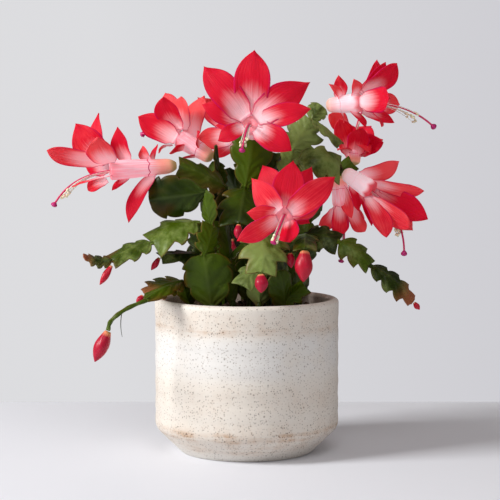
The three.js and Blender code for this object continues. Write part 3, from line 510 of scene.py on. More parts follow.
BUDS: dict[str, Bud] = {
    "bud_low_left": Bud((-85, -64, 85.5), (-93, -66, 67), 4.6),
    "bud_left_tip": Bud((-84, -48.2, 124.6), (-91, -52, 113), 2.3),
    "bud_left_inner": Bud((-55, -35, 128.5), (-60, -38, 121), 2),
    "bud_front": Bud((9, -58, 120), (9, -62, 109), 4.2),
    "bud_front_right": Bud((36, -50, 134), (35, -54, 115), 5.6),
    "bud_centre": Bud((-5, -35.8, 149.5), (-6, -40, 141), 2.6),
    "bud_right_inner": Bud((27, -42.9, 132.2), (28, -45, 123), 2.8),
    "bud_rim_left": Bud((-64.6, -50.2, 106.2), (-68, -53, 101), 2.2),
    "bud_right_tip": Bud((107.5, -18, 98.5), (111, -19, 94), 1.9),
    "bud_back": Bud((-10, 86.5, 133.5), (-11, 94, 122), 3.6),
    "bud_back_left": Bud((-36, 84.5, 115.5), (-39, 90, 106), 3),
}

AIR_ROOT: tuple[Point, ...] = (
    (-76.6, -61.5, 97.5), (-77.2, -62, 92), (-77.2, -62.5, 88), (-76.8, -63, 84.4), (-76.3, -63, 82),
)
AIR_ROOT_RADII = (0.3, 0.12)

# ---------------------------------------------------------------- surfaces


def unit(vectors: Array) -> Array:
    """Scales vectors in the last axis to length 1."""
    return vectors / np.linalg.norm(vectors, axis=-1, keepdims=True)


def smoothstep(low: float, high: float, value: Array) -> Array:
    """Runs from 0 at low to 1 at high as 3x^2 - 2x^3, where low may be the greater of the two."""
    x = np.clip((value - low) / (high - low), 0, 1)
    return x * x * (3 - 2 * x)


def bezier(start: Array, bend: Array, end: Array, t: Array) -> tuple[Array, Array]:
    """Points and unit tangents of the quadratic curve (1-t)^2 a + 2t(1-t) b + t^2 c.

    Args:
        start: First point.
        bend: Control point.
        end: Last point.
        t: Parameters.

    Returns:
        Two arrays of shape (len(t), 3).
    """
    t = t[:, None]
    points = (1 - t) ** 2 * start + 2 * t * (1 - t) * bend + t**2 * end
    return points, unit((1 - t) * (bend - start) + t * (end - bend))


def smooth_path(points: Iterable[Point], count: int) -> Array:
    """A Catmull-Rom curve through given points.

    Each span is the cubic through its two points whose slopes are half the chord between the neighbours.

    Args:
        points: The points to pass through.
        count: How many points to return.

    Returns:
        An array of shape (count, 3).
    """
    given = np.array(list(points), float)
    padded = np.vstack([2 * given[0] - given[1], given, 2 * given[-1] - given[-2]])
    place = np.linspace(0, len(given) - 1, count)
    span = np.minimum(place.astype(int), len(given) - 2)
    x = (place - span)[:, None]
    before, here, after, beyond = (padded[span + k] for k in range(4))
    return 0.5 * (
        2 * here
        + (after - before) * x
        + (2 * before - 5 * here + 4 * after - beyond) * x**2
        + (3 * here - before - 3 * after + beyond) * x**3
    )


class Skin:
    """A mesh in the making: closed rings and their ends, with a UV pair and named marks at each point."""

    def __init__(self) -> None:
        """Starts with no points."""
        self.points: list[Array] = []
        self.uvs: list[Array] = []
        self.marks: dict[str, list[Array]] = {}
        self.quads: list[Array] = []
        self.triangles: list[Array] = []
        self.count = 0

    def add_rings(self, rings: Array, uv: Array, **marks: float | Array) -> None:
        """Adds a closed tube of rings with a fan at each end, turned to face out.

        The tube's signed volume is the sum of a . (b x c) / 6 over its triangles. Where it is negative the
        order of every face is turned round.

        Args:
            rings: Points of shape (rows, around, 3), in millimetres.
            uv: Pairs of shape (rows, around, 2).
            **marks: Named values, one for the piece or one for each point.
        """
        rows, around, _ = rings.shape
        start = self.count
        index = start + np.arange(rows * around).reshape(rows, around)
        following = np.roll(index, -1, axis=1)
        quads = np.stack([index[:-1], following[:-1], following[1:], index[1:]], axis=-1).reshape(-1, 4)
        ends = np.array([rings[0].mean(axis=0), rings[-1].mean(axis=0)])
        first, last = start + rows * around, start + rows * around + 1
        triangles = np.concatenate([
            np.stack([np.full(around, first), following[0], index[0]], axis=-1),
            np.stack([np.full(around, last), index[-1], following[-1]], axis=-1),
        ])
        points = np.concatenate([rings.reshape(-1, 3), ends])
        local = np.concatenate([quads[:, [0, 1, 2]], quads[:, [0, 2, 3]], triangles]) - start
        a, b, c = (points[local[:, k]] for k in range(3))
        if np.einsum("ij,ij->", a, np.cross(b, c)) < 0:
            quads, triangles = quads[:, ::-1], triangles[:, ::-1]
        self.points.append(points)
        end_uvs = np.array([uv[0].mean(axis=0), uv[-1].mean(axis=0)])
        self.uvs.append(np.concatenate([uv.reshape(-1, 2), end_uvs]))
        for name, value in marks.items():
            full = np.broadcast_to(np.asarray(value, float), (rows, around)).reshape(-1)
            filled = np.concatenate([full, [full[0], full[-1]]])
            self.marks.setdefault(name, []).append(filled)
        self.quads.append(quads)
        self.triangles.append(triangles)
        self.count += len(points)

    def build(self, name: str, material: Material, slot: str, replaced: str | None = None) -> None:
        """Makes the mesh object, in metres, and registers it with the frame.

        Args:
            name: The object's name.
            material: Its finish.
            slot: The record's material slot, which is not used.
            replaced: The CAD node it stands for, if any.
        """
        mesh = bpy.data.meshes.new(name)
        faces = np.concatenate(self.quads).tolist() + np.concatenate(self.triangles).tolist()
        mesh.from_pydata((np.concatenate(self.points) * MM).tolist(), [], faces)
        corners = np.empty(len(mesh.loops), np.int32)
        mesh.loops.foreach_get("vertex_index", corners)
        layer = mesh.uv_layers.new(name="UVMap")
        layer.data.foreach_set("uv", np.concatenate(self.uvs)[corners].ravel().astype(np.float32))
        for mark, values in self.marks.items():
            attribute = mesh.attributes.new(mark, "FLOAT", "POINT")
            attribute.data.foreach_set("value", np.concatenate(values).astype(np.float32))
        mesh.polygons.foreach_set("use_smooth", np.ones(len(mesh.polygons), bool))
        mesh.update()
        mesh.materials.append(material)
        piece = bpy.data.objects.new(name, mesh)
        bpy.context.scene.collection.objects.link(piece)
        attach(piece, "root")
        if replaced:
            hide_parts(replaced)
        LOG.info("%s: %d faces", name, len(faces))


def ring_angles(count: int) -> Array:
    """Even angles round a full turn."""
    return 2 * np.pi * np.arange(count) / count


def tube_rings(path: Array, radii: Array, around: int, relief: Array | float = 1) -> tuple[Array, Array]:
    """Rings round a path, each point being centre + radius (cos a * across + sin a * second).

    The two axes are carried along the path without twist.

    Args:
        path: Centres of shape (rows, 3).
        radii: The radius at each centre.
        around: Points in a ring.
        relief: Factor on the radius, of shape (rows, around), or 1.

    Returns:
        The rings and their UV pairs: way round folded to 0..1..0, and part of the length.
    """
    tangents = unit(np.gradient(path, axis=0))
    across = np.array([0, 0, 1.0]) if abs(tangents[0, 2]) < 0.9 else np.array([1.0, 0, 0])
    frames = []
    for tangent in tangents:
        second = unit(np.cross(tangent, across))
        across = np.cross(second, tangent)
        frames.append((across, second))
    axes = np.array(frames)
    angle = ring_angles(around)
    ring = np.cos(angle)[None, :, None] * axes[:, None, 0] + np.sin(angle)[None, :, None] * axes[:, None, 1]
    size = (np.asarray(radii, float)[:, None] * relief)[..., None]
    rings = path[:, None] + ring * size
    length = np.linspace(0, 1, len(path))
    uv = np.stack(np.broadcast_arrays(np.abs(angle / np.pi - 1)[None], length[:, None]), axis=-1)
    return rings, uv


def blade_rings(middle: Array, half: Array) -> Array:
    """Rings round a thin blade, over its top and back below.

    Args:
        middle: A grid of points in the middle of its thickness.
        half: The way up from there to its top, which is none in the outer columns.

    Returns:
        The rings.
    """
    top, bottom = middle + half, middle - half
    return np.concatenate([top, bottom[:, -2:0:-1]], axis=1)


# ---------------------------------------------------------------- stems


@dataclass
class StemMaker:
    """Builds a leafy stem: a woody foot, then flat segments with lobed edges and a raised midrib.

    Lengths are in millimetres, and the rest is in parts of a segment's length, width or half width.
    """

    joint_width: float = 4.4
    joint_overlap: float = 1.6
    edge_thickness: float = 0.7
    body_thickness: float = 0.8
    rib_thickness: float = 0.9
    rib_width: float = 0.12
    camber: float = 0.1
    ripple: float = 0.03
    ripples: Span = (1.3, 2.2)
    ripple_shift: float = 1.5
    twist: float = 0.3
    lean: float = 0.06
    root_foot: float = 82
    root_middle: float = 90
    root_top: float = 96
    root_end: float = 100
    root_radii: Span = (2.5, 2.0)
    root_rings: int = 8
    neck_radius: float = 1.35
    neck_rings: int = 24
    neck_knobs: float = 4.5
    knob_height: float = 0.12
    around: int = 12
    span_steps: int = 6
    least_step: float = 0.001
    lobe_reach: float = 0.35
    lobe_swell: float = 0.03
    hollow_reach: float = 0.15
    hollow_share: float = 0.65
    notches: float = 3.4
    notch_phase: float = 0.4
    notch_depth: float = 0.2
    first_notch: Span = (0.12, 0.3)
    last_notch: Span = (1.0, 0.86)
    columns: Array = field(default_factory=lambda: np.array(
        [-1, -0.95, -0.8, -0.55, -0.3, -0.13, 0, 0.13, 0.3, 0.55, 0.8, 0.95, 1]))

    def edge_curve(self, outline: Outline, neck: float) -> Array:
        """The half outline from the base joint round to the tip joint.

        Smooth outlines are one flowing curve with shallow notches, cut by a cubed saw. On lobed ones each
        rising span swells outwards to a pointed tip, and each falling span is hollow down to the notch.

        Args:
            outline: Which outline.
            neck: Half width of the joints, in parts of the half width.

        Returns:
            Points as (part of the length, part of the half width).
        """
        corners = np.array([(0, neck), *outline.value, (1, neck)], float)
        if outline in (Outline.PLAIN, Outline.ROUNDED):
            count = self.span_steps * (len(corners) + 2)
            curve = smooth_path([(u, v, 0) for u, v in corners], count)[:, :2]
            along = curve[:, 0]
            inside = smoothstep(*self.first_notch, along) * smoothstep(*self.last_notch, along)
            notches = ((self.notches * along + self.notch_phase) % 1) ** 3
            curve[:, 1] -= self.notch_depth * inside * notches
            return curve
        t = np.linspace(0, 1, self.span_steps, endpoint=False)
        spans = []
        for here, after in zip(corners[:-1], corners[1:]):
            if after[1] > here[1]:
                reach, level = self.lobe_reach, after[1] + self.lobe_swell
            else:
                reach = self.hollow_reach
                level = (1 - self.hollow_share) * here[1] + self.hollow_share * after[1]
            bend = np.array([here[0] + reach * (after[0] - here[0]), level])
            spans.append(bezier(here, bend, after, t)[0])
        return np.vstack([*spans, corners[-1:]])

    def add_segment(
        self, skin: Skin, start: Array, segment: Segment, draw: Draw, wood: float, dusty: float
    ) -> None:
        """Adds one segment.

        The point at (u, v) is base + u length axis + v width/2 side + h normal. The height h is the bow
        4 b u (1 - u), less the camber that grows with v^2, with a ripple and a twist along the edges. A row
        ends at a point of the outline, and leaves the midrib halfway between that and an even step.

        Args:
            skin: The mesh in the making.
            start: The joint it grows from.
            segment: Its size and place.
            draw: The stem's random draws.
            wood: How woody it is, from 0 to 1.
            dusty: How much pale waxy bloom and painted sheen its skin has, from 0 to 1.
        """
        tip = np.array(segment.tip, float)
        facing = segment.facing.value if isinstance(segment.facing, Facing) else segment.facing
        axis = unit(tip - start)
        base = start - axis * self.joint_overlap
        length = np.linalg.norm(tip - base)
        side = unit(np.cross(facing, axis))
        normal = np.cross(axis, side)
        edge = self.edge_curve(segment.outline, self.joint_width / segment.width)
        even = np.linspace(0, 1, len(edge))
        climbing = np.maximum.accumulate((np.clip(edge[:, 0], 0, 1) + even) / 2)
        rib = (1 - self.least_step) * climbing + self.least_step * even
        s = self.columns[None]
        reach = np.abs(s)
        u = (1 - reach) * rib[:, None] + reach * edge[:, :1]
        lean = 1 + draw.uniform(-self.lean, self.lean) * np.sign(s)
        v = s * edge[:, 1:] * lean
        inside = np.clip(u, 0, 1)
        height = 4 * segment.bow * inside * (1 - inside) - self.camber * segment.width * v**2
        turns = draw.uniform(*self.ripples) * u + draw.uniform()
        wave = np.sin(2 * np.pi * turns + self.ripple_shift * np.sign(s))
        height = height + self.ripple * segment.width * v**2 * wave
        height = height + v * segment.width / 2 * draw.uniform(-self.twist, self.twist) * (u - 0.5)
        middle = (
            base
            + axis * (u * length)[..., None]
            + side * (v * segment.width / 2)[..., None]
            + normal * height[..., None]
        )
        rib_height = self.rib_thickness * np.exp(-((s / self.rib_width) ** 2))
        thickness = (self.edge_thickness + self.body_thickness * (1 - reach) + rib_height) * (reach < 1)
        half = normal * (np.broadcast_to(thickness, u.shape) / 2)[..., None]
        uv = np.stack([np.broadcast_to(s * 0.5 + 0.5, u.shape), u], axis=-1)
        skin.add_rings(
            blade_rings(middle, half),
            blade_rings(uv, np.zeros_like(uv)),
            tone=draw.uniform(),
            blush=segment.blush,
            wood=wood,
            dusty=dusty,
        )

    def build(self, name: str, stem: Stem, material: Material, draw: Draw) -> None:
        """Builds one stem in place of its CAD node.

        Args:
            name: The CAD node's name.
            stem: Its root, runs and neck.
            material: The finish.
            draw: Seeded random draws.
        """
        skin = Skin()
        x, y = stem.root
        levels = (self.root_foot, self.root_middle, self.root_end)
        foot = smooth_path([(x, y, level) for level in levels], self.root_rings)
        rings, uv = tube_rings(foot, np.linspace(*self.root_radii, self.root_rings), self.around)
        skin.add_rings(rings, uv, tone=0.3, blush=0, wood=1, dusty=0)
        for run in stem.runs:
            joint = np.array(run.start or (x, y, self.root_top), float)
            for k, segment in enumerate(run.segments):
                wood = 0.5 if run.start is None and k == 0 else 0
                self.add_segment(skin, joint, segment, draw, wood, stem.dusty)
                joint = np.array(segment.tip, float)
        if stem.neck:
            path = smooth_path(stem.neck, self.neck_rings)
            turns = np.linspace(0, 2 * np.pi * self.neck_knobs, self.neck_rings)
            knobs = 1 + self.knob_height * np.sin(turns)
            rings, uv = tube_rings(path, self.neck_radius * knobs, self.around)
            skin.add_rings(rings, uv, tone=0.8, blush=0, wood=0, dusty=0.4)
        skin.build(f"leafy_{name}", material, "stem", name)


# ---------------------------------------------------------------- flowers and buds


def round_rings(
    foot: Array,
    axis: Array,
    heights: Array,
    radii: Array,
    around: int,
    relief: Array | float = 1,
    second_uv: Array | None = None,
) -> tuple[Array, Array]:
    """Rings of a body turned round a straight axis.

    Each point is foot + height axis + radius (cos a * across + sin a * second).

    Args:
        foot: Where the axis starts.
        axis: Its unit direction.
        heights: Distance along the axis of each ring.
        radii: Radius of each ring.
        around: Points in a ring.
        relief: Factor on the radius, of shape (rows, around), or 1.
        second_uv: The UV value along the body, where it isn't the part of the greatest height.

    Returns:
        The rings and their UV pairs.
    """
    guide = np.array([0, 0, 1.0]) if abs(axis[2]) < 0.9 else np.array([0, -1.0, 0])
    second = unit(np.cross(axis, guide))
    across = np.cross(second, axis)
    angle = ring_angles(around)
    ring = np.cos(angle)[:, None] * across + np.sin(angle)[:, None] * second
    size = (np.asarray(radii, float)[:, None] * relief)[..., None]
    rings = foot + np.asarray(heights, float)[:, None, None] * axis + ring[None] * size
    length = np.asarray(heights) / np.max(heights) if second_uv is None else second_uv
    folded = np.abs(angle / np.pi - 1)
    uv = np.stack(np.broadcast_arrays(folded[None], length[:, None]), axis=-1)
    return rings, uv


@dataclass
class BloomMaker:
    """Builds a flower: the floral tube, its petals in whorls, the stamens and the pistil.

    Lengths are in millimetres, angles in radians, and the rest is in parts of a petal's length or width.
    """

    tube_base_radius: float = 4.2
    tube_mouth_radius: float = 6.4
    tube_around: int = 32
    tube_flutes: int = 5
    flute_height: float = 0.03
    throat_depth: float = 6.7
    throat_start: float = 0.9
    tube_sections: Profile = (
        (0, 2.2), (0.02, 3.0), (0.06, 4.0), (0.1, 4.6), (0.15, 4.9), (0.2, 4.9), (0.25, 5.0), (0.31, 5.2),
        (0.33, 5.4), (0.42, 5.6), (0.55, 5.8), (0.65, 6.0), (0.67, 6.2), (0.8, 6.3), (0.9, 6.1),
    )
    dome_sections: Profile = (
        (0.6, 5.6), (0.9, 4.7), (1.0, 3.4), (0.8, 2.1), (0.2, 1.4), (-1, 0.9),
    )
    dome_uv: Span = (1, 1.25)
    petal_rows: int = 17
    petal_middle: float = 0.34
    petal_edge: float = 0.24
    petal_thinning: float = 0.45
    petal_swing: float = 0.16
    lower_inset: float = 0.9
    foot_width: float = 0.42
    claw_gain: float = 0.4
    claw_end: float = 0.16
    blade_width: float = 0.6
    blade_rise: Span = (0.1, 0.5)
    fall_powers: Span = (1.4, 2.3)
    least_share: float = 0.015
    upwards: Point = (0.3, 0.2, 1)
    layer_step: float = 2.0
    layer_bow: float = 1.5
    hollow: float = 0.18
    foot_hollow: float = 0.15
    front_foot_hollow: float = 0.5
    foot_end: float = 0.32
    crease: float = 0.025
    crease_width: float = 0.16
    ripple: float = 0.018
    ripples: Span = (1.2, 2.4)
    ripple_shift: float = 2
    roll: float = 0.05
    style_radius: float = 0.62
    style_bow: float = 0.55
    style_rings: int = 22
    stigma_start: float = 0.93
    stigma_sections: Profile = (
        (0.94, 1.0), (0.955, 1.55), (0.97, 1.85), (0.985, 1.7), (0.995, 1.1), (1, 0.4),
    )
    stigma_lobes: int = 7
    lobe_height: float = 0.14
    lobe_end: float = 0.96
    filaments: int = 12
    filament_radii: Span = (0.19, 0.16)
    filament_rings: int = 16
    filament_gap: float = 1
    droop_spread: Span = (0.2, 1)
    filament_fan: float = 1.5
    filament_stray: float = 0.2
    shortest: float = 0.2
    anther_tilt: float = 0.7
    anther_hold: float = 0.8
    anther_sections: Profile = (
        (-1.3, 0.1), (-1.1, 0.5), (-0.5, 0.75), (0.2, 0.75), (0.9, 0.55), (1.3, 0.1),
    )
    columns: Array = field(default_factory=lambda: np.array(
        [-1, -0.95, -0.82, -0.58, -0.3, 0, 0.3, 0.58, 0.82, 0.95, 1]))

    def petal_shares(self, t: Array, power: float) -> Array:
        """The petal's width along its length, in parts of the widest.

        It rises from the foot by two smoothsteps and falls to the tip as 1 - x^p.

        Args:
            t: Parts of the length.
            power: The power p: the greater, the blunter the tip.

        Returns:
            One share for each part, in a column.
        """
        rise = self.foot_width + self.claw_gain * smoothstep(0, self.claw_end, t)
        rise = rise + (self.blade_width - self.foot_width) * smoothstep(*self.blade_rise, t)
        share = rise * (1 - np.clip((t - 0.5) / 0.5, 0, 1) ** power)
        return (share / share.max()).clip(self.least_share)[:, None]

    def add_petal(self, skin: Skin, bloom: Bloom, petal: Petal, layer: float, draw: Draw) -> None:
        """Adds one petal, a thin cupped blade along a quadratic curve from the tube to its tip.

        Across, it is hollow by the parabola 1/4 - (s/2)^2, deepest where it wraps the tube, with a crease
        down the middle. Its edges ripple and roll back.

        Args:
            skin: The mesh in the making.
            bloom: The flower.
            petal: The petal.
            layer: How far forward its lower half lies, so that neighbours overlap.
            draw: Seeded random draws.
        """
        place, usual, bow = petal.whorl.value
        width = petal.width or usual
        base, mouth, target = (np.array(p, float) for p in (bloom.base, bloom.mouth, petal.tip))
        axis = unit(mouth - base)
        centre = base + place * (mouth - base)
        outward = target - centre
        outward = unit(outward - axis * (outward @ axis))
        radius = self.tube_base_radius + place * (self.tube_mouth_radius - self.tube_base_radius)
        inset = bloom.inset if petal.whorl is Whorl.MOUTH else self.lower_inset
        foot = centre + outward * (radius - inset)
        reach = np.linalg.norm(target - foot)
        t = np.linspace(0, 1, self.petal_rows)
        bend = (foot + target) / 2 + axis * (bow * reach + self.layer_bow * layer)
        points, tangents = bezier(foot + axis * layer, bend, target, t)
        facing = axis * (1 - petal.turn) + np.array([0, -petal.turn, 0])
        side = unit(np.cross(facing, target - foot))
        normals = unit(np.cross(side, tangents))
        swing = draw.uniform(-self.petal_swing, self.petal_swing) * t[:, None]
        sides = unit(side * np.cos(swing) + normals * np.sin(swing))
        normals = unit(np.cross(sides, tangents))

        share = self.petal_shares(t, draw.uniform(*self.fall_powers))
        s = self.columns[None]
        t = t[:, None]
        foot_hollow = self.front_foot_hollow if layer else self.foot_hollow
        hollow = self.hollow + foot_hollow * (1 - smoothstep(0, self.foot_end, t))
        height = (0.25 - (s / 2) ** 2) * hollow * width * share
        fold = np.exp(-((s / self.crease_width) ** 2))
        height = height - self.crease * width * share * fold * smoothstep(*self.blade_rise, t)
        turns = draw.uniform(*self.ripples) * t + draw.uniform()
        wave = np.sin(2 * np.pi * turns + self.ripple_shift * np.sign(s))
        height = height + width * s**2 * (self.ripple * wave + self.roll * smoothstep(0.5, 1, t))
        middle = (
            points[:, None]
            + sides[:, None] * (s * share * width / 2)[..., None]
            + normals[:, None] * height[..., None]
        )
        across = (self.petal_edge + self.petal_middle * (1 - np.abs(s))) * (np.abs(s) < 1)
        thickness = across * (1 - self.petal_thinning * t)
        half = normals[:, None] * (thickness / 2)[..., None]
        uv = np.stack(np.broadcast_arrays(s * 0.5 + 0.5, t), axis=-1)
        skin.add_rings(
            blade_rings(middle, half),
            blade_rings(uv, np.zeros_like(uv)),
            # The random tone is scaled by the flower's red gain, which is painted light.
            tone=draw.uniform() * bloom.painted_light_gain,
            tube=0,
            flush=bloom.flush,
            pale=bloom.pale,
        )

    def layers(self, bloom: Bloom) -> Array:
        """How far forward each petal lies, as every second one round the tube lies over its neighbours.

        Args:
            bloom: The flower.

        Returns:
            One offset a petal.
        """
        base, mouth = np.array(bloom.base, float), np.array(bloom.mouth, float)
        axis = unit(mouth - base)
        right = unit(np.cross(axis, self.upwards))
        above = np.cross(right, axis)
        tips = np.array([petal.tip for petal in bloom.petals], float) - mouth
        turns = np.arctan2(tips @ above, tips @ right)
        layers = np.zeros(len(bloom.petals))
        for whorl in Whorl:
            members = [k for k, petal in enumerate(bloom.petals) if petal.whorl is whorl]
            order = sorted(members, key=lambda k: turns[k])
            layers[order[1::2]] = self.layer_step
        return layers

    def add_tube(self, skin: Skin, bloom: Bloom) -> None:
        """Adds the floral tube: a swollen ovary, a widening tube, and the low dome that closes it.

        The UV value along it runs on past 1 over the dome.

        Args:
            skin: The mesh in the making.
            bloom: The flower.
        """
        base, mouth = np.array(bloom.base, float), np.array(bloom.mouth, float)
        length = np.linalg.norm(mouth - base)
        axis = (mouth - base) / length
        parts, wide = np.array(self.tube_sections).T
        rises, narrow = np.array(self.dome_sections).T
        heights = np.concatenate([parts * length, length * self.throat_start + rises])
        radii = np.concatenate([wide, narrow])
        angle = ring_angles(self.tube_around)
        deepening = self.flute_height * np.clip(heights / length - 0.2, 0, 1)
        flutes = 1 + np.cos(self.tube_flutes * angle)[None] * deepening[:, None]
        along = np.concatenate([parts, np.linspace(*self.dome_uv, len(rises))])
        rings, uv = round_rings(base, axis, heights, radii, self.tube_around, flutes, along)
        skin.add_rings(rings, uv, tone=0.5, tube=1, flush=bloom.flush, pale=bloom.pale)

    def style_curve(self, bloom: Bloom, t: Array) -> tuple[Array, Array]:
        """The curve of the style from the foot of the throat to the stigma, with its tangents.

        Args:
            bloom: The flower.
            t: Parameters from 0 to 1.

        Returns:
            Points and tangents.
        """
        base, mouth, stigma = (np.array(p, float) for p in (bloom.base, bloom.mouth, bloom.stigma))
        axis = unit(mouth - base)
        bend = mouth + axis * self.style_bow * np.linalg.norm(stigma - mouth)
        return bezier(mouth - axis * self.throat_depth, bend, stigma, t)

    def build_pistil(self, name: str, bloom: Bloom, material: Material) -> None:
        """Builds the style and its lobed stigma in place of the CAD node.

        Args:
            name: The flower's name.
            bloom: The flower.
            material: The finish.
        """
        parts, wide = np.array(self.stigma_sections).T
        t = np.concatenate([np.linspace(0, self.stigma_start, self.style_rings), parts])
        radii = np.concatenate([np.full(self.style_rings, self.style_radius), wide])
        around = 2 * self.stigma_lobes
        angle = ring_angles(around)
        rising = self.lobe_height * smoothstep(self.stigma_start, self.lobe_end, t)
        lobes = 1 + np.cos(self.stigma_lobes * angle)[None] * rising[:, None]
        rings, uv = tube_rings(self.style_curve(bloom, t)[0], radii, around, lobes)
        skin = Skin()
        skin.add_rings(rings, uv)
        skin.build(f"style_of_{name}", material, "pistil", f"{name}_pistil")

    def build_stamens(self, name: str, bloom: Bloom, material: Material, draw: Draw) -> None:
        """Builds the filaments that follow the style on the hollow side of its curve, and their anthers.

        Each filament is the style's curve moved out by an offset that grows along it. The filaments stand
        side by side in an arc.

        Args:
            name: The flower's name.
            bloom: The flower.
            material: The finish.
            draw: Seeded random draws.
        """
        skin = Skin()
        tangents = self.style_curve(bloom, np.array([0.0, 1.0]))[1]
        plane = unit(np.cross(tangents[0], tangents[1]))
        for k in range(self.filaments):
            stray = draw.uniform(-self.filament_stray, self.filament_stray)
            turn = self.filament_fan * (2 * k / (self.filaments - 1) - 1) + stray
            reach = bloom.anther_reach * (1 - self.shortest * draw.uniform())
            t = np.linspace(0, 1, self.filament_rings)
            centres, along = self.style_curve(bloom, t * reach)
            out = unit(np.cross(plane, along))
            offset = (self.filament_gap + draw.uniform(*self.droop_spread) * bloom.droop * t**2)[:, None]
            path = centres + offset * (np.cos(turn) * out + np.sin(turn) * plane)
            radii = np.linspace(*self.filament_radii, self.filament_rings)
            rings, uv = tube_rings(path, radii, 6)
            skin.add_rings(rings, uv, anther=0)
            swing = unit(along[-1] + self.anther_tilt * draw.uniform(-1, 1, 3))
            steps, radii = np.array(self.anther_sections).T
            rings, uv = tube_rings(path[-1] + swing * (steps + self.anther_hold)[:, None], radii, 8)
            skin.add_rings(rings, uv, anther=1)
        skin.build(f"threads_of_{name}", material, "stamen", f"{name}_stamens")

    def build(self, name: str, bloom: Bloom, finishes: dict[str, Material], draw: Draw) -> None:
        """Builds a whole flower in place of its three CAD nodes.

        Args:
            name: The flower's CAD node.
            bloom: The flower.
            finishes: Materials by slot.
            draw: Seeded random draws.
        """
        skin = Skin()
        self.add_tube(skin, bloom)
        for petal, layer in zip(bloom.petals, self.layers(bloom)):
            self.add_petal(skin, bloom, petal, layer, draw)
        skin.build(f"petals_of_{name}", finishes["petal"], "petal", name)
        self.build_stamens(name, bloom, finishes["stamen"], draw)
        self.build_pistil(name, bloom, finishes["pistil"])


@dataclass
class BudMaker:
    """Builds a bud: overlapping scales wound round a spindle."""

    around: int = 30
    rows: int = 26
    scales: int = 3
    scale_relief: float = 0.13
    scale_edge: float = 8
    winding: float = 0.9
    sections: Profile = (
        (0, 0.42), (0.05, 0.52), (0.16, 0.68), (0.24, 0.8), (0.34, 0.92), (0.46, 1), (0.58, 0.97),
        (0.7, 0.82), (0.8, 0.62), (0.88, 0.42), (0.95, 0.22), (1, 0.05),
    )

    def build(self, name: str, bud: Bud, material: Material, draw: Draw) -> None:
        """Builds one bud in place of its CAD node.

        The radius is the section's, raised by a saw that drops at each scale's edge and winds as it climbs.

        Args:
            name: The CAD node's name.
            bud: Its place and size.
            material: The finish.
            draw: Seeded random draws.
        """
        base, tip = np.array(bud.base, float), np.array(bud.tip, float)
        length = np.linalg.norm(tip - base)
        part, share = np.array(self.sections).T
        fine = np.linspace(0, 1, self.rows)
        radii = bud.radius * np.interp(fine, part, share)
        turn = np.arange(self.around) / self.around
        saw = (self.scales * turn[None] + self.winding * fine[:, None] + draw.uniform()) % 1
        relief = 1 + self.scale_relief * (np.minimum(saw, (1 - saw) * self.scale_edge) - 0.5)
        rings, uv = round_rings(base, (tip - base) / length, fine * length, radii, self.around, relief)
        skin = Skin()
        skin.add_rings(rings, uv, tone=draw.uniform(), ridge=saw)
        skin.build(f"scales_of_{name}", material, "bud", name)


# ---------------------------------------------------------------- pot, potting mix and air root


@dataclass
class PotMaker:
    """Builds the thrown pot: flat underside, bevelled foot, straight wall and rounded lip."""

    radius: float = 60
    height: float = 100
    foot_radius: float = 44
    bevel: float = 16
    wall: float = 6.5
    floor: float = 7
    inner_bevel: float = 12.5
    centre: float = 4
    lip_height: float = 2.6
    lip_rings: int = 13
    edge_margin: float = 4
    around: int = 168
    wall_rings: int = 44
    throwing: float = 0.16
    fade: float = 8

    def build(self, material: Material) -> None:
        """Builds the pot in place of its CAD node.

        The wall's radius wavers by two sines of the height, as thrown clay does, which fade to none at its
        ends.

        Args:
            material: The finish.
        """
        outer = np.linspace(self.bevel + self.edge_margin, self.height - self.edge_margin, self.wall_rings)
        fade = smoothstep(0, self.fade, outer - outer[0]) * smoothstep(0, self.fade, outer[-1] - outer)
        waver = self.throwing * fade * (np.sin(0.42 * outer + 1) + 0.6 * np.sin(1.13 * outer) - 1.3)
        wall = np.stack([self.radius + waver, outer], axis=-1)
        inner_radius = self.radius - self.wall
        turn = np.radians(np.linspace(0, 180, self.lip_rings))
        lip_middle = (self.radius + inner_radius) / 2
        lip = np.stack([
            lip_middle + self.wall / 2 * np.cos(turn),
            self.height - self.lip_height + self.lip_height * np.sin(turn),
        ], axis=-1)
        foot = [
            (self.centre, 0), (25, 0), (self.foot_radius - 1.5, 0), (self.foot_radius - 0.4, 0.2),
            (self.foot_radius + 0.3, 0.9),
        ]
        slope = [
            (self.radius - 2.6, self.bevel - 2.0), (self.radius - 1.3, self.bevel - 0.5),
            (self.radius - 0.4, self.bevel + 1.4), (self.radius - 0.1, self.bevel + 3),
        ]
        inside = [
            (inner_radius, self.height - 6), (inner_radius, self.floor + self.inner_bevel),
            (inner_radius - self.inner_bevel, self.floor), (self.centre, self.floor),
        ]
        profile = np.concatenate([foot, slope, wall, lip, inside])
        radii, heights = profile.T
        rings, uv = round_rings(np.zeros(3), np.array([0, 0, 1.0]), heights, radii, self.around)
        skin = Skin()
        skin.add_rings(rings, uv)
        skin.build("glazed_pot", material, "pot", "pot")


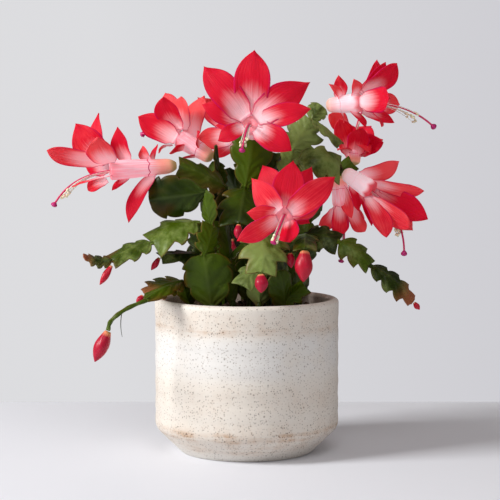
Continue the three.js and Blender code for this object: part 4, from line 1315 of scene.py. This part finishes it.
@dataclass
class MixMaker:
    """Builds the potting mix: a lumpy crown that fills the pot, with crumbs and bark chips on it."""

    radius: float = 53.1
    level: float = 89
    crown: float = 5
    crown_radius: float = 53.5
    lump: float = 1.3
    foot: float = 19.6
    floor: float = 7.4
    inner_bevel: float = 12.5
    around: int = 120
    rows: int = 56
    centre: float = 0.6
    crumbs: int = 620
    spread: float = 0.96
    dents: Span = (0.8, 1.2)
    crumb_around: int = 6
    crumb_size: float = 0.5
    chip_gain: float = 1.9
    least_stretch: Point = (0.8, 0.5, 0.35)
    most_stretch: Point = (1.5, 0.9, 0.8)
    crumb_sections: Profile = ((0.5, -0.8), (1, -0.1), (0.55, 0.75))

    def height(self, x: Array, y: Array) -> Array:
        """The height of the mix: a crown that falls with the square of the radius, and crossed waves."""
        edge = np.hypot(x, y) / self.crown_radius
        broad = np.sin(0.42 * x + 0.9) * np.cos(0.37 * y) + 0.7 * np.sin(0.31 * x - 0.45 * y)
        fine = 0.45 * np.sin(1.3 * x + 0.8 * y) * np.sin(1.1 * y - 0.5 * x + 1)
        return self.level + self.crown * (1 - edge**2) + self.lump * (broad + fine)

    def build(self, material: Material, draw: Draw) -> None:
        """Builds the mix in place of its CAD node.

        A crumb is a ball of three rings, squashed and turned at random, and half sunk in the surface. A few
        are as large as bark chips.

        Args:
            material: The finish.
            draw: Seeded random draws.
        """
        skin = Skin()
        angle = ring_angles(self.around)
        reach = np.linspace(self.centre, self.radius, self.rows)[:, None]
        x, y = reach * np.cos(angle), reach * np.sin(angle)
        top = np.stack([x, y, self.height(x, y)], axis=-1)
        lower = top[-1] * [1, 1, 0] + [0, 0, self.foot]
        narrowing = 1 - self.inner_bevel / self.radius
        inner = lower * [narrowing, narrowing, 0] + [0, 0, self.floor]
        rings = np.concatenate([top, lower[None], inner[None]])
        skin.add_rings(rings, np.zeros((*rings.shape[:2], 2)), tone=0.4)
        turn = ring_angles(self.crumb_around)
        circle = np.stack([np.cos(turn), np.sin(turn), 0 * turn], axis=-1)
        levels = np.array(self.crumb_sections)
        ball = circle[None] * levels[:, :1, None] + [0, 0, 1] * levels[:, 1:, None]
        for _ in range(self.crumbs):
            out = self.radius * math.sqrt(draw.uniform(0, self.spread))
            way = draw.uniform(0, 2 * math.pi)
            x, y = out * math.cos(way), out * math.sin(way)
            size = self.crumb_size + self.chip_gain * draw.uniform() ** 2
            stretch = size * draw.uniform(self.least_stretch, self.most_stretch)
            frame, _ = np.linalg.qr(draw.normal(size=(3, 3)))
            shape = ball * stretch * draw.uniform(*self.dents, (*ball.shape[:2], 1))
            place = np.array([x, y, float(self.height(np.array(x), np.array(y))) + size / 4])
            skin.add_rings(shape @ frame + place, np.zeros((*ball.shape[:2], 2)), tone=draw.uniform())
        skin.build("potting_mix", material, "soil", "soil")


def build_air_root(material: Material) -> None:
    """Builds the fine root that hangs in the air from the bud's long neck.

    Args:
        material: The finish.
    """
    path = smooth_path(AIR_ROOT, 20)
    rings, uv = tube_rings(path, np.linspace(*AIR_ROOT_RADII, len(path)), 6)
    skin = Skin()
    skin.add_rings(rings, uv, tone=0.2, blush=0, wood=0.6)
    skin.build("air_root", material, "stem")


# ---------------------------------------------------------------- shader maths


class Signal:
    """One output of a shader node. Arithmetic on it adds Math nodes."""

    def __init__(self, graph: Graph, socket: bpy.types.NodeSocket) -> None:
        """Wraps a socket.

        Args:
            graph: The material it belongs to.
            socket: The output.
        """
        self.graph = graph
        self.socket = socket

    def _math(self, operation: str, left: Any, right: Any) -> Signal:
        """Adds one Math node."""
        return self.graph.add("ShaderNodeMath", {"operation": operation}, {0: left, 1: right})

    def __add__(self, other: Any) -> Signal:
        """self + other."""
        return self._math("ADD", self, other)

    __radd__ = __add__

    def __sub__(self, other: Any) -> Signal:
        """self - other."""
        return self._math("SUBTRACT", self, other)

    def __rsub__(self, other: Any) -> Signal:
        """other - self."""
        return self._math("SUBTRACT", other, self)

    def __mul__(self, other: Any) -> Signal:
        """self * other."""
        return self._math("MULTIPLY", self, other)

    __rmul__ = __mul__

    def __abs__(self) -> Signal:
        """|self|."""
        return self._math("ABSOLUTE", self, 0)

    def sine(self) -> Signal:
        """sin(self)."""
        return self._math("SINE", self, 0)

    def step(self, low: float, high: float) -> Signal:
        """Rises smoothly from 0 at low to 1 at high, or falls where high is the smaller."""
        ends = {0: self, 1: min(low, high), 2: max(low, high), 3: float(low > high), 4: float(low < high)}
        return self.graph.add("ShaderNodeMapRange", {"interpolation_type": "SMOOTHSTEP"}, ends)


class Graph:
    """The node tree of one material, round a Principled BSDF."""

    def __init__(self, name: str, **constants: Any) -> None:
        """Makes the material.

        Args:
            name: Its name.
            **constants: Values of the shader's sockets that are the same all over, with _ for a space.
        """
        self.material = bpy.data.materials.new(name)
        self.material.use_nodes = True
        self.tree = self.material.node_tree
        self.shader = self.tree.nodes["Principled BSDF"]
        for key, value in constants.items():
            self.shader.inputs[key.replace("_", " ")].default_value = value

    def add(self, kind: str, settings: dict[str, Any] | None = None, inputs: dict[Any, Any] | None = None,
            output: int | str = 0) -> Signal:
        """Adds a node.

        Args:
            kind: The node's type.
            settings: Properties to set first.
            inputs: Values or signals by socket name or number.
            output: Which output to return.

        Returns:
            The output, as a signal.
        """
        node = self.tree.nodes.new(kind)
        for key, value in (settings or {}).items():
            setattr(node, key, value)
        for key, value in (inputs or {}).items():
            if isinstance(value, Signal):
                self.tree.links.new(value.socket, node.inputs[key])
            else:
                node.inputs[key].default_value = value
        return Signal(self, node.outputs[output])

    def attribute(self, name: str) -> Signal:
        """A named value of the mesh's points."""
        return self.add("ShaderNodeAttribute", {"attribute_name": name}, output="Fac")

    def uv(self) -> tuple[Signal, Signal]:
        """The UV pair: across and along."""
        pair = self.add("ShaderNodeUVMap", {"uv_map": "UVMap"})
        across, along = (self.add("ShaderNodeSeparateXYZ", None, {0: pair}, axis) for axis in "XY")
        return across, along

    def place(self) -> Signal:
        """The point's place on the object, in metres."""
        return self.add("ShaderNodeTexCoord", output="Object")

    def vector(self, x: Any, y: Any, z: Any = 0.0) -> Signal:
        """A vector from three values."""
        return self.add("ShaderNodeCombineXYZ", None, {0: x, 1: y, 2: z})

    def scaled(self, vector: Signal, scale: tuple[float, float, float]) -> Signal:
        """A vector with each of its parts scaled."""
        return self.add("ShaderNodeVectorMath", {"operation": "MULTIPLY"}, {0: vector, 1: scale})

    def noise(self, vector: Signal, scale: float, detail: float = 3, roughness: float = 0.55) -> Signal:
        """Smooth noise from 0 to 1."""
        wanted = {"Vector": vector, "Scale": scale, "Detail": detail, "Roughness": roughness}
        return self.add("ShaderNodeTexNoise", None, wanted)

    def mix(self, factor: Any, first: Any, second: Any) -> Signal:
        """The first colour where the factor is 0, the second where it is 1."""
        colours = {0: factor}
        for socket, colour in ((6, first), (7, second)):
            colours[socket] = colour if isinstance(colour, Signal) else (*colour, 1)
        return self.add("ShaderNodeMix", {"data_type": "RGBA", "clamp_factor": True}, colours, 2)

    def set(self, name: str, value: Signal) -> None:
        """Feeds a signal to one of the shader's sockets."""
        self.tree.links.new(value.socket, self.shader.inputs[name])

    def bump(self, height: Signal, strength: float, distance: float) -> None:
        """Feeds a height to the shader's normal.

        Args:
            height: The relief, from 0 to 1.
            strength: How much of it shows.
            distance: Its depth in metres.
        """
        wanted = {"Height": height, "Strength": strength, "Distance": distance}
        self.set("Normal", self.add("ShaderNodeBump", None, wanted))


# ---------------------------------------------------------------- finishes


@dataclass(frozen=True)
class StemFinish:
    """Waxy green skin with a paler midrib, faint side veins, rusty patches and margins, and woody feet. Its
    pale waxy bloom is partly painted sheen: patches of lighter, greyer green that stand in for light on
    glossy skin.
    """

    deep: Colour = (0.007, 0.015, 0.0)
    fresh: Colour = (0.06, 0.105, 0.002)
    # Pale waxy bloom, which also serves as painted sheen.
    bloom_and_sheen: Colour = (0.23, 0.3, 0.085)
    margin: Colour = (0.16, 0.05, 0.012)
    young: Colour = (0.36, 0.1, 0.05)
    bark: Colour = (0.09, 0.06, 0.03)
    cloud_scale: float = 55
    mottle_scale: float = 130
    patch_scale: float = 34
    grain_scale: float = 420
    vein_waves: float = 26
    vein_slant: float = 0.35
    relief: float = 0.0009

    def build(self) -> Material:
        """Makes the material."""
        g = Graph("stem_skin", Specular_IOR_Level=0.12, Coat_Weight=0.06, Coat_Roughness=0.2,
                  Subsurface_Weight=0.1, Subsurface_Radius=(0.6, 1.0, 0.1), Subsurface_Scale=0.001)
        across, along = g.uv()
        rim = abs(across * 2 - 1)
        place = g.place()
        cloud = g.noise(place, self.cloud_scale, 4)
        grain = g.noise(place, self.grain_scale, 2)
        tone = g.attribute("tone")
        green = g.mix((cloud * 0.9 + tone * 0.6).step(0.35, 1.15), self.deep, self.fresh)
        mottle = g.noise(place, self.mottle_scale, 4, 0.65)
        # Mottled patches of pale bloom and painted sheen, more of them where the stem's bloom-and-sheen
        # amount is high.
        painted_sheen_and_bloom = (cloud * 0.7 + mottle * 0.7 + g.attribute("dusty") * 0.5).step(0.8, 1.15)
        green = g.mix(painted_sheen_and_bloom * 0.75, green, self.bloom_and_sheen)
        green = g.mix(rim.step(0.14, 0.0) * 0.07, green, self.bloom_and_sheen)
        rusty = g.noise(place, self.patch_scale, 2).step(0.54, 0.74) * rim.step(0.1, 0.9)
        green = g.mix(rusty * 0.5, green, self.margin)
        green = g.mix(rim.step(0.86, 1.0) * (0.1 + tone * 0.45), green, self.margin)
        blush = g.attribute("blush") * (along + cloud * 0.3).step(0.7, 1.15)
        green = g.mix(blush, green, self.young)
        green = g.mix(g.attribute("wood") * along.step(0.45, 0.0) * (0.55 + cloud * 0.5), green, self.bark)
        g.set("Base Color", green)
        g.set("Roughness", 0.28 + grain * 0.2)
        vein = ((along - rim * self.vein_slant) * self.vein_waves).sine()
        relief = vein * 0.3 * rim.step(0.05, 0.4) * rim.step(1.0, 0.7) + cloud * 1.2 + grain * 0.2
        g.bump(relief, 0.6, self.relief)
        return g.material


@dataclass(frozen=True)
class PetalFinish:
    """Petals from red tips to a white foot, and the tube below them.

    Fine streaks run along a petal, its margins are dark magenta low down, and its foot is ringed. The tube
    is pale or flushed pink, greenish at the ovary and red in the throat. Its mouth is edged in waves.
    Petals and tube also glow with painted light: dim red on the petals, paler on their white feet and in
    the tube's own colour on the tube, standing in for light shining through them.
    """

    crimson: Colour = (0.46, 0.0, 0.018)
    scarlet: Colour = (0.7, 0.01, 0.034)
    coral: Colour = (0.88, 0.11, 0.11)
    white: Colour = (0.98, 0.67, 0.72)
    line: Colour = (0.4, 0.0, 0.075)
    # Painted light: the colours that the petals and tube glow in.
    painted_glow: Colour = (0.3, 0.0, 0.008)
    painted_pale_glow: Colour = (0.5, 0.26, 0.3)
    tube_white: Colour = (0.93, 0.72, 0.78)
    tube_pink: Colour = (0.9, 0.27, 0.35)
    tube_foot: Colour = (0.8, 0.27, 0.2)
    peach: Colour = (0.74, 0.4, 0.26)
    ovary: Colour = (0.22, 0.2, 0.045)
    streak_scale: Span = (26, 1.6)
    cloud_scale: float = 70
    mouth_waves: float = 9.42
    wave_height: float = 0.06
    ring_place: float = 0.38
    relief: float = 0.0007

    def build(self) -> Material:
        """Makes the material."""
        g = Graph("petal_skin", Specular_IOR_Level=0.12, Emission_Strength=0.3, Subsurface_Weight=0.45,
                  Subsurface_Radius=(1.0, 0.2, 0.2), Subsurface_Scale=0.002)
        across, along = g.uv()
        rim = abs(across * 2 - 1)
        tone = g.attribute("tone")
        flush = g.attribute("flush")
        fine, stretched = self.streak_scale
        streaks = g.noise(g.vector(across * fine, along * stretched, tone * 30), 1.0, 3)
        cloud = g.noise(g.place(), self.cloud_scale, 2)
        red = g.mix((tone * 0.6 + cloud * 0.5 + streaks * 0.4).step(0.35, 1.05), self.crimson, self.scarlet)
        red = g.mix((cloud * 0.5 + streaks * 0.5 + tone * 0.6).step(0.75, 1.2) * 0.7, red, self.coral)
        pale = g.attribute("pale")
        low = along + rim * rim * 0.26 - (streaks - 0.5) * 0.22 - (tone - 0.5) * 0.16 - pale
        bleached = low.step(0.12, -0.42)
        petal = g.mix(bleached * (1.0 - flush * 0.25), red, self.white)
        border = rim.step(0.84, 0.97) * along.step(0.9, 0.35)
        petal = g.mix(border * 0.85, petal, self.line)
        petal = g.mix(along.step(0.035, 0.01) * 0.6, petal, self.line)
        tube = g.mix(flush * (0.4 + streaks.step(0.3, 0.7) * 0.7), self.tube_white, self.tube_pink)
        tube = g.mix(along.step(0.4, 0.2) * flush, tube, self.tube_foot)
        tube = g.mix(along.step(0.22, 0.06) * (0.15 + flush * 0.7), tube, self.peach)
        tube = g.mix(along.step(0.12, 0.03) * (0.1 + flush * 0.75), tube, self.ovary)
        wave = abs((across * self.mouth_waves).sine()) * self.wave_height
        tube = g.mix((along - wave).step(0.7, 0.86) * (1.0 - flush * 0.8), tube, red)
        ring = abs(along - wave * 0.4 - self.ring_place).step(0.014, 0.003)
        tube = g.mix(ring * flush, tube, self.line)
        on_tube = g.attribute("tube")
        g.set("Base Color", g.mix(on_tube, petal, tube))
        # Painted light: an emission that stands in for light through the petals and tube.
        petal_painted_glow = g.mix(bleached, self.painted_glow, self.painted_pale_glow)
        g.set("Emission Color", g.mix(on_tube, petal_painted_glow, g.mix(0.1, tube, self.painted_glow)))
        g.set("Roughness", 0.38 + streaks * 0.2)
        g.bump(streaks + cloud * 0.8, 0.5, self.relief)
        return g.material


@dataclass(frozen=True)
class StamenFinish:
    """White filaments that turn pink at the foot, and cream anthers dusted with pollen."""

    filament: Colour = (0.9, 0.5, 0.52)
    pale: Colour = (0.9, 0.84, 0.76)
    anther: Colour = (0.86, 0.77, 0.5)

    def build(self) -> Material:
        """Makes the material."""
        g = Graph("stamen_skin", Roughness=0.6, Subsurface_Weight=0.2, Subsurface_Scale=0.001)
        along = g.uv()[1]
        grain = g.noise(g.place(), 1800, 2)
        thread = g.mix(along.step(0.1, 0.8), self.filament, self.pale)
        pollen = g.mix(grain.step(0.35, 0.7) * 0.5, self.anther, self.pale)
        g.set("Base Color", g.mix(g.attribute("anther"), thread, pollen))
        g.bump(grain, 0.5, 0.0002)
        return g.material


@dataclass(frozen=True)
class PistilFinish:
    """A glossy magenta style with a deeper, velvety stigma."""

    style: Colour = (0.62, 0.02, 0.12)
    stigma: Colour = (0.5, 0.008, 0.16)

    def build(self) -> Material:
        """Makes the material."""
        g = Graph("pistil_skin", Roughness=0.35, Subsurface_Weight=0.15, Subsurface_Scale=0.001)
        along = g.uv()[1]
        grain = g.noise(g.place(), 1500, 2)
        g.set("Base Color", g.mix(along.step(0.78, 0.84), self.style, self.stigma))
        g.bump(grain, 0.3, 0.0002)
        return g.material


@dataclass(frozen=True)
class BudFinish:
    """Crimson scales with deeper margins over a greenish foot."""

    crimson: Colour = (0.37, 0.0, 0.033)
    coral: Colour = (0.54, 0.006, 0.02)
    margin: Colour = (0.3, 0.0, 0.03)
    foot: Colour = (0.32, 0.28, 0.07)
    blushed: Colour = (0.75, 0.25, 0.12)

    def build(self) -> Material:
        """Makes the material."""
        g = Graph("bud_skin", Roughness=0.38, Specular_IOR_Level=0.3, Coat_Weight=0.1, Coat_Roughness=0.25,
                  Subsurface_Weight=0.25, Subsurface_Radius=(1.0, 0.3, 0.2), Subsurface_Scale=0.002)
        along = g.uv()[1]
        ridge = g.attribute("ridge")
        cloud = g.noise(g.place(), 160, 3)
        red = g.mix(g.attribute("tone") * 0.6 + cloud * 0.4, self.crimson, self.coral)
        red = g.mix(ridge.step(0.8, 1.0) * 0.5, red, self.margin)
        red = g.mix((along + (cloud - 0.5) * 0.16).step(0.15, 0.04), red, self.blushed)
        red = g.mix((along + (cloud - 0.5) * 0.12 + ridge * 0.06).step(0.08, 0.01), red, self.foot)
        g.set("Base Color", red)
        g.bump(cloud, 0.3, 0.0003)
        return g.material


@dataclass(frozen=True)
class Band:
    """A soft band round the pot.

    It has the height of its middle and its half width, in millimetres, where it starts and is full in parts
    of that half width, and its strength.
    """

    middle: float
    half: float
    start: float
    full: float
    strength: float = 1

    def shade(self, height: Signal) -> Signal:
        """How much of the band shows at a height."""
        return (abs(height - self.middle) * (1 / self.half)).step(self.start, self.full) * self.strength


@dataclass(frozen=True)
class PotFinish:
    """A satin cream glaze over stoneware with dense iron specks, tan where it runs thin or was sponged.

    Each size of specks has its cells to the metre, its radius in parts of a cell, and the value that a
    cell's random number has to pass.
    """

    cream: Colour = (0.76, 0.72, 0.66)
    cool: Colour = (0.76, 0.75, 0.73)
    tan: Colour = (0.56, 0.4, 0.28)
    rust: Colour = (0.36, 0.2, 0.11)
    clay: Colour = (0.5, 0.36, 0.3)
    speck: Colour = (0.09, 0.06, 0.045)
    clear: Band = Band(68, 16, 1.3, 0.3)
    sponged: tuple[Band, ...] = (
        Band(88, 11, 1.1, 0.2, 0.3), Band(40, 15, 1.1, 0.1, 0.22), Band(17, 14, 1.1, 0.2, 0.3),
    )
    streaked: tuple[Band, ...] = (
        Band(83, 4, 1.0, 0.2, 0.5), Band(17, 5, 1.0, 0.2), Band(8, 5, 1.0, 0.3, 0.4),
    )
    specks: tuple[Point, ...] = ((800, 0.34, 0.36), (520, 0.28, 0.38), (300, 0.2, 0.42), (170, 0.13, 0.5))
    inner_wall: Span = (0.0575, 0.056)
    bare: Span = (60, 75)
    cloud_scale: float = 26
    brush_scale: float = 24
    dab_scale: float = 75
    grain_scale: float = 900
    relief: float = 0.0006

    def build(self) -> Material:
        """Makes the material."""
        g = Graph("pot_glaze", Coat_Weight=0.06, Coat_Roughness=0.35, Specular_IOR_Level=0.3)
        place = g.place()
        height = g.add("ShaderNodeSeparateXYZ", None, {0: place}, "Z") * 1000
        cloud = g.noise(place, self.cloud_scale, 4)
        brushed = g.noise(g.scaled(place, (1, 1, 12)), self.brush_scale, 5, 0.65)
        grain = g.noise(place, self.grain_scale, 3, 0.7)
        glaze = g.mix(self.clear.shade(height) * cloud.step(0.3, 0.55), self.cream, self.cool)
        sponged = sum(band.shade(height) for band in self.sponged)
        streak = sum(band.shade(height) for band in self.streaked) * brushed.step(0.36, 0.62)
        level = g.scaled(place, (1, 1, 0))
        radius = g.add("ShaderNodeVectorMath", {"operation": "LENGTH"}, {0: level}, "Value")
        dabs = g.noise(place, self.dab_scale, 5, 0.7).step(0.4, 0.66)
        worn = (sponged + streak * 0.8) * (0.45 + dabs * 0.9)
        glaze = g.mix(worn * (0.55 + grain * 0.5), glaze, self.tan)
        glaze = g.mix(worn * brushed.step(0.52, 0.72) * grain.step(0.42, 0.62) * 0.55, glaze, self.rust)
        glaze = g.mix(radius.step(*self.inner_wall) * height.step(*self.bare) * 0.6, glaze, self.clay)
        iron = g.mix(grain.step(0.45, 0.7), self.speck, self.rust)
        for scale, size, share in self.specks:
            cells, colour = (
                g.add("ShaderNodeTexVoronoi", {"feature": "F1"}, {"Vector": place, "Scale": scale}, output)
                for output in ("Distance", "Color")
            )
            chance = g.add("ShaderNodeSeparateColor", None, {0: colour}, "Red")
            pick = chance + worn * 0.35 + cloud * 0.5 - 0.25
            dots = cells.step(size, size * 0.5) * pick.step(share, share + 0.4)
            glaze = g.mix(dots * (0.6 + worn * 0.4), glaze, iron)
        g.set("Base Color", glaze)
        g.set("Roughness", 0.5 + grain * 0.2 - cloud * 0.1)
        g.bump(cloud * 0.8 + brushed * 0.4 + grain * 0.25, 0.35, self.relief)
        return g.material


@dataclass(frozen=True)
class MixFinish:
    """Dark peat with brown bark and a few pale grains."""

    peat: Colour = (0.018, 0.011, 0.007)
    bark: Colour = (0.11, 0.055, 0.028)
    pale: Colour = (0.2, 0.15, 0.1)

    def build(self) -> Material:
        """Makes the material."""
        g = Graph("mix_crumbs", Roughness=0.92, Specular_IOR_Level=0.2)
        place = g.place()
        fine = g.noise(place, 700, 4, 0.7)
        tone = g.attribute("tone")
        ground = g.mix(fine.step(0.35, 0.7) * (0.35 + tone * 0.6), self.peat, self.bark)
        g.set("Base Color", g.mix(tone.step(0.93, 1.0) * 0.7, ground, self.pale))
        g.bump(fine, 0.8, 0.0008)
        return g.material


# ---------------------------------------------------------------- stage


@dataclass(frozen=True)
class Lamp:
    """A square light: its name, its place in metres, its power in watts, its side in metres, its colour."""

    name: str
    place: Point
    power: float
    size: float
    colour: Colour


@dataclass
class Studio:
    """A pale table, a soft key light from the left, a pale surround and the camera, in metres."""

    table_edge: float = 0.182
    table_reach: float = 3
    table_light: Colour = (0.785, 0.81, 0.88)
    table_dark: Colour = (0.795, 0.82, 0.885)
    # Painted shade: the wall that the camera sees darkens from the left colour to the right one, as if lit
    # from the left.
    wall_left: Colour = (0.72, 0.72, 0.74)
    wall_right_shaded: Colour = (0.62, 0.615, 0.65)
    wall_span: Span = (-0.1, 0.17)
    ambient: Colour = (0.86, 0.79, 0.75)
    ambient_strength: float = 0.34
    lamps: tuple[Lamp, ...] = (
        Lamp("key", (-1.42, -0.6, 1.08), 34.5, 0.6, (1.0, 0.985, 0.96)),
        Lamp("fill", (0.2, -1.3, 1.5), 6.5, 0.9, (1.0, 0.98, 0.97)),
    )
    lit: Point = (0, 0, 0.12)
    distance: float = 1.0
    eye_height: float = 0.201
    eye_aside: float = 0.0021
    pitch_degrees: float = 4
    focal_pixels: float = 1536
    frame_pixels: float = 500
    sensor: float = 36

    def build_table(self) -> None:
        """Makes the table as a flat grid that ends behind the pot."""
        far = self.table_reach
        corners = [(-far, -far, 0), (far, -far, 0), (far, self.table_edge, 0), (-far, self.table_edge, 0)]
        mesh = bpy.data.meshes.new("table")
        mesh.from_pydata(corners, [], [(0, 1, 2, 3)])
        g = Graph("table_top", Roughness=0.6, Specular_IOR_Level=0.25)
        g.set("Base Color", g.mix(g.noise(g.place(), 3, 2), self.table_light, self.table_dark))
        mesh.materials.append(g.material)
        table = bpy.data.objects.new("table", mesh)
        bpy.context.scene.collection.objects.link(table)

    def build_world(self) -> None:
        """Makes the surround: a wall with painted shade that darkens it to the right, and the dimmer light
        that it casts.
        """
        world = bpy.data.worlds.new("surround")
        world.use_nodes = True
        bpy.context.scene.world = world
        nodes, links = world.node_tree.nodes, world.node_tree.links
        nodes.clear()
        seen = nodes.new("ShaderNodeBackground")
        cast = nodes.new("ShaderNodeBackground")
        either = nodes.new("ShaderNodeMixShader")
        ray = nodes.new("ShaderNodeLightPath")
        way = nodes.new("ShaderNodeTexCoord")
        split = nodes.new("ShaderNodeSeparateXYZ")
        spread = nodes.new("ShaderNodeMapRange")
        painted_wall_shade = nodes.new("ShaderNodeMix")
        out = nodes.new("ShaderNodeOutputWorld")
        painted_wall_shade.data_type = "RGBA"
        painted_wall_shade.inputs[6].default_value = (*self.wall_left, 1)
        painted_wall_shade.inputs[7].default_value = (*self.wall_right_shaded, 1)
        spread.inputs["From Min"].default_value, spread.inputs["From Max"].default_value = self.wall_span
        cast.inputs["Color"].default_value = (*self.ambient, 1)
        cast.inputs["Strength"].default_value = self.ambient_strength
        for source, target in (
            (way.outputs["Generated"], split.inputs[0]),
            (split.outputs["X"], spread.inputs["Value"]),
            (spread.outputs[0], painted_wall_shade.inputs[0]),
            (painted_wall_shade.outputs[2], seen.inputs["Color"]),
            (ray.outputs["Is Camera Ray"], either.inputs[0]),
            (cast.outputs[0], either.inputs[1]),
            (seen.outputs[0], either.inputs[2]),
            (either.outputs[0], out.inputs["Surface"]),
        ):
            links.new(source, target)

    def add_lamp(self, lamp: Lamp) -> None:
        """Adds a square light that looks at the plant.

        Args:
            lamp: Its place and strength.
        """
        light = bpy.data.lights.new(lamp.name, "AREA")
        light.energy = lamp.power
        light.size = lamp.size
        light.color = lamp.colour
        stand = bpy.data.objects.new(lamp.name, light)
        stand.location = lamp.place
        x, y, z = np.array(self.lit) - np.array(lamp.place)
        stand.rotation_euler = (math.atan2(math.hypot(x, y), -z), 0, math.atan2(y, x) - math.pi / 2)
        stand.visible_camera = False
        bpy.context.scene.collection.objects.link(stand)

    def build_camera(self) -> None:
        """Makes the camera, whose focal length in pixels sets the lens."""
        camera = bpy.data.cameras.new("camera")
        camera.sensor_width = self.sensor
        camera.lens = self.focal_pixels / self.frame_pixels * self.sensor
        eye = bpy.data.objects.new("camera", camera)
        eye.location = (self.eye_aside, -self.distance, self.eye_height)
        eye.rotation_euler = (math.radians(90 - self.pitch_degrees), 0, 0)
        bpy.context.scene.collection.objects.link(eye)
        bpy.context.scene.camera = eye

    def build(self) -> None:
        """Builds the whole stage."""
        bpy.context.scene.view_settings.view_transform = "Standard"
        self.build_camera()
        self.build_table()
        self.build_world()
        for lamp in self.lamps:
            self.add_lamp(lamp)


# ---------------------------------------------------------------- main


def main() -> None:
    """Loads the frame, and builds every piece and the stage."""
    logging.basicConfig(level=logging.INFO, format="%(name)s %(message)s")
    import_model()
    Studio().build()
    finishes = {
        "stem": StemFinish().build(),
        "petal": PetalFinish().build(),
        "stamen": StamenFinish().build(),
        "pistil": PistilFinish().build(),
        "bud": BudFinish().build(),
        "pot": PotFinish().build(),
        "soil": MixFinish().build(),
    }
    PotMaker().build(finishes["pot"])
    MixMaker().build(finishes["soil"], np.random.default_rng(SEED))
    for k, (name, stem) in enumerate(STEMS.items()):
        StemMaker().build(name, stem, finishes["stem"], np.random.default_rng([SEED, 1, k]))
    for k, (name, bloom) in enumerate(BLOOMS.items()):
        BloomMaker().build(name, bloom, finishes, np.random.default_rng([SEED, 2, k]))
    for k, (name, bud) in enumerate(BUDS.items()):
        BudMaker().build(name, bud, finishes["bud"], np.random.default_rng([SEED, 3, k]))
    build_air_root(finishes["stem"])


if __name__ == "__main__":
    main()
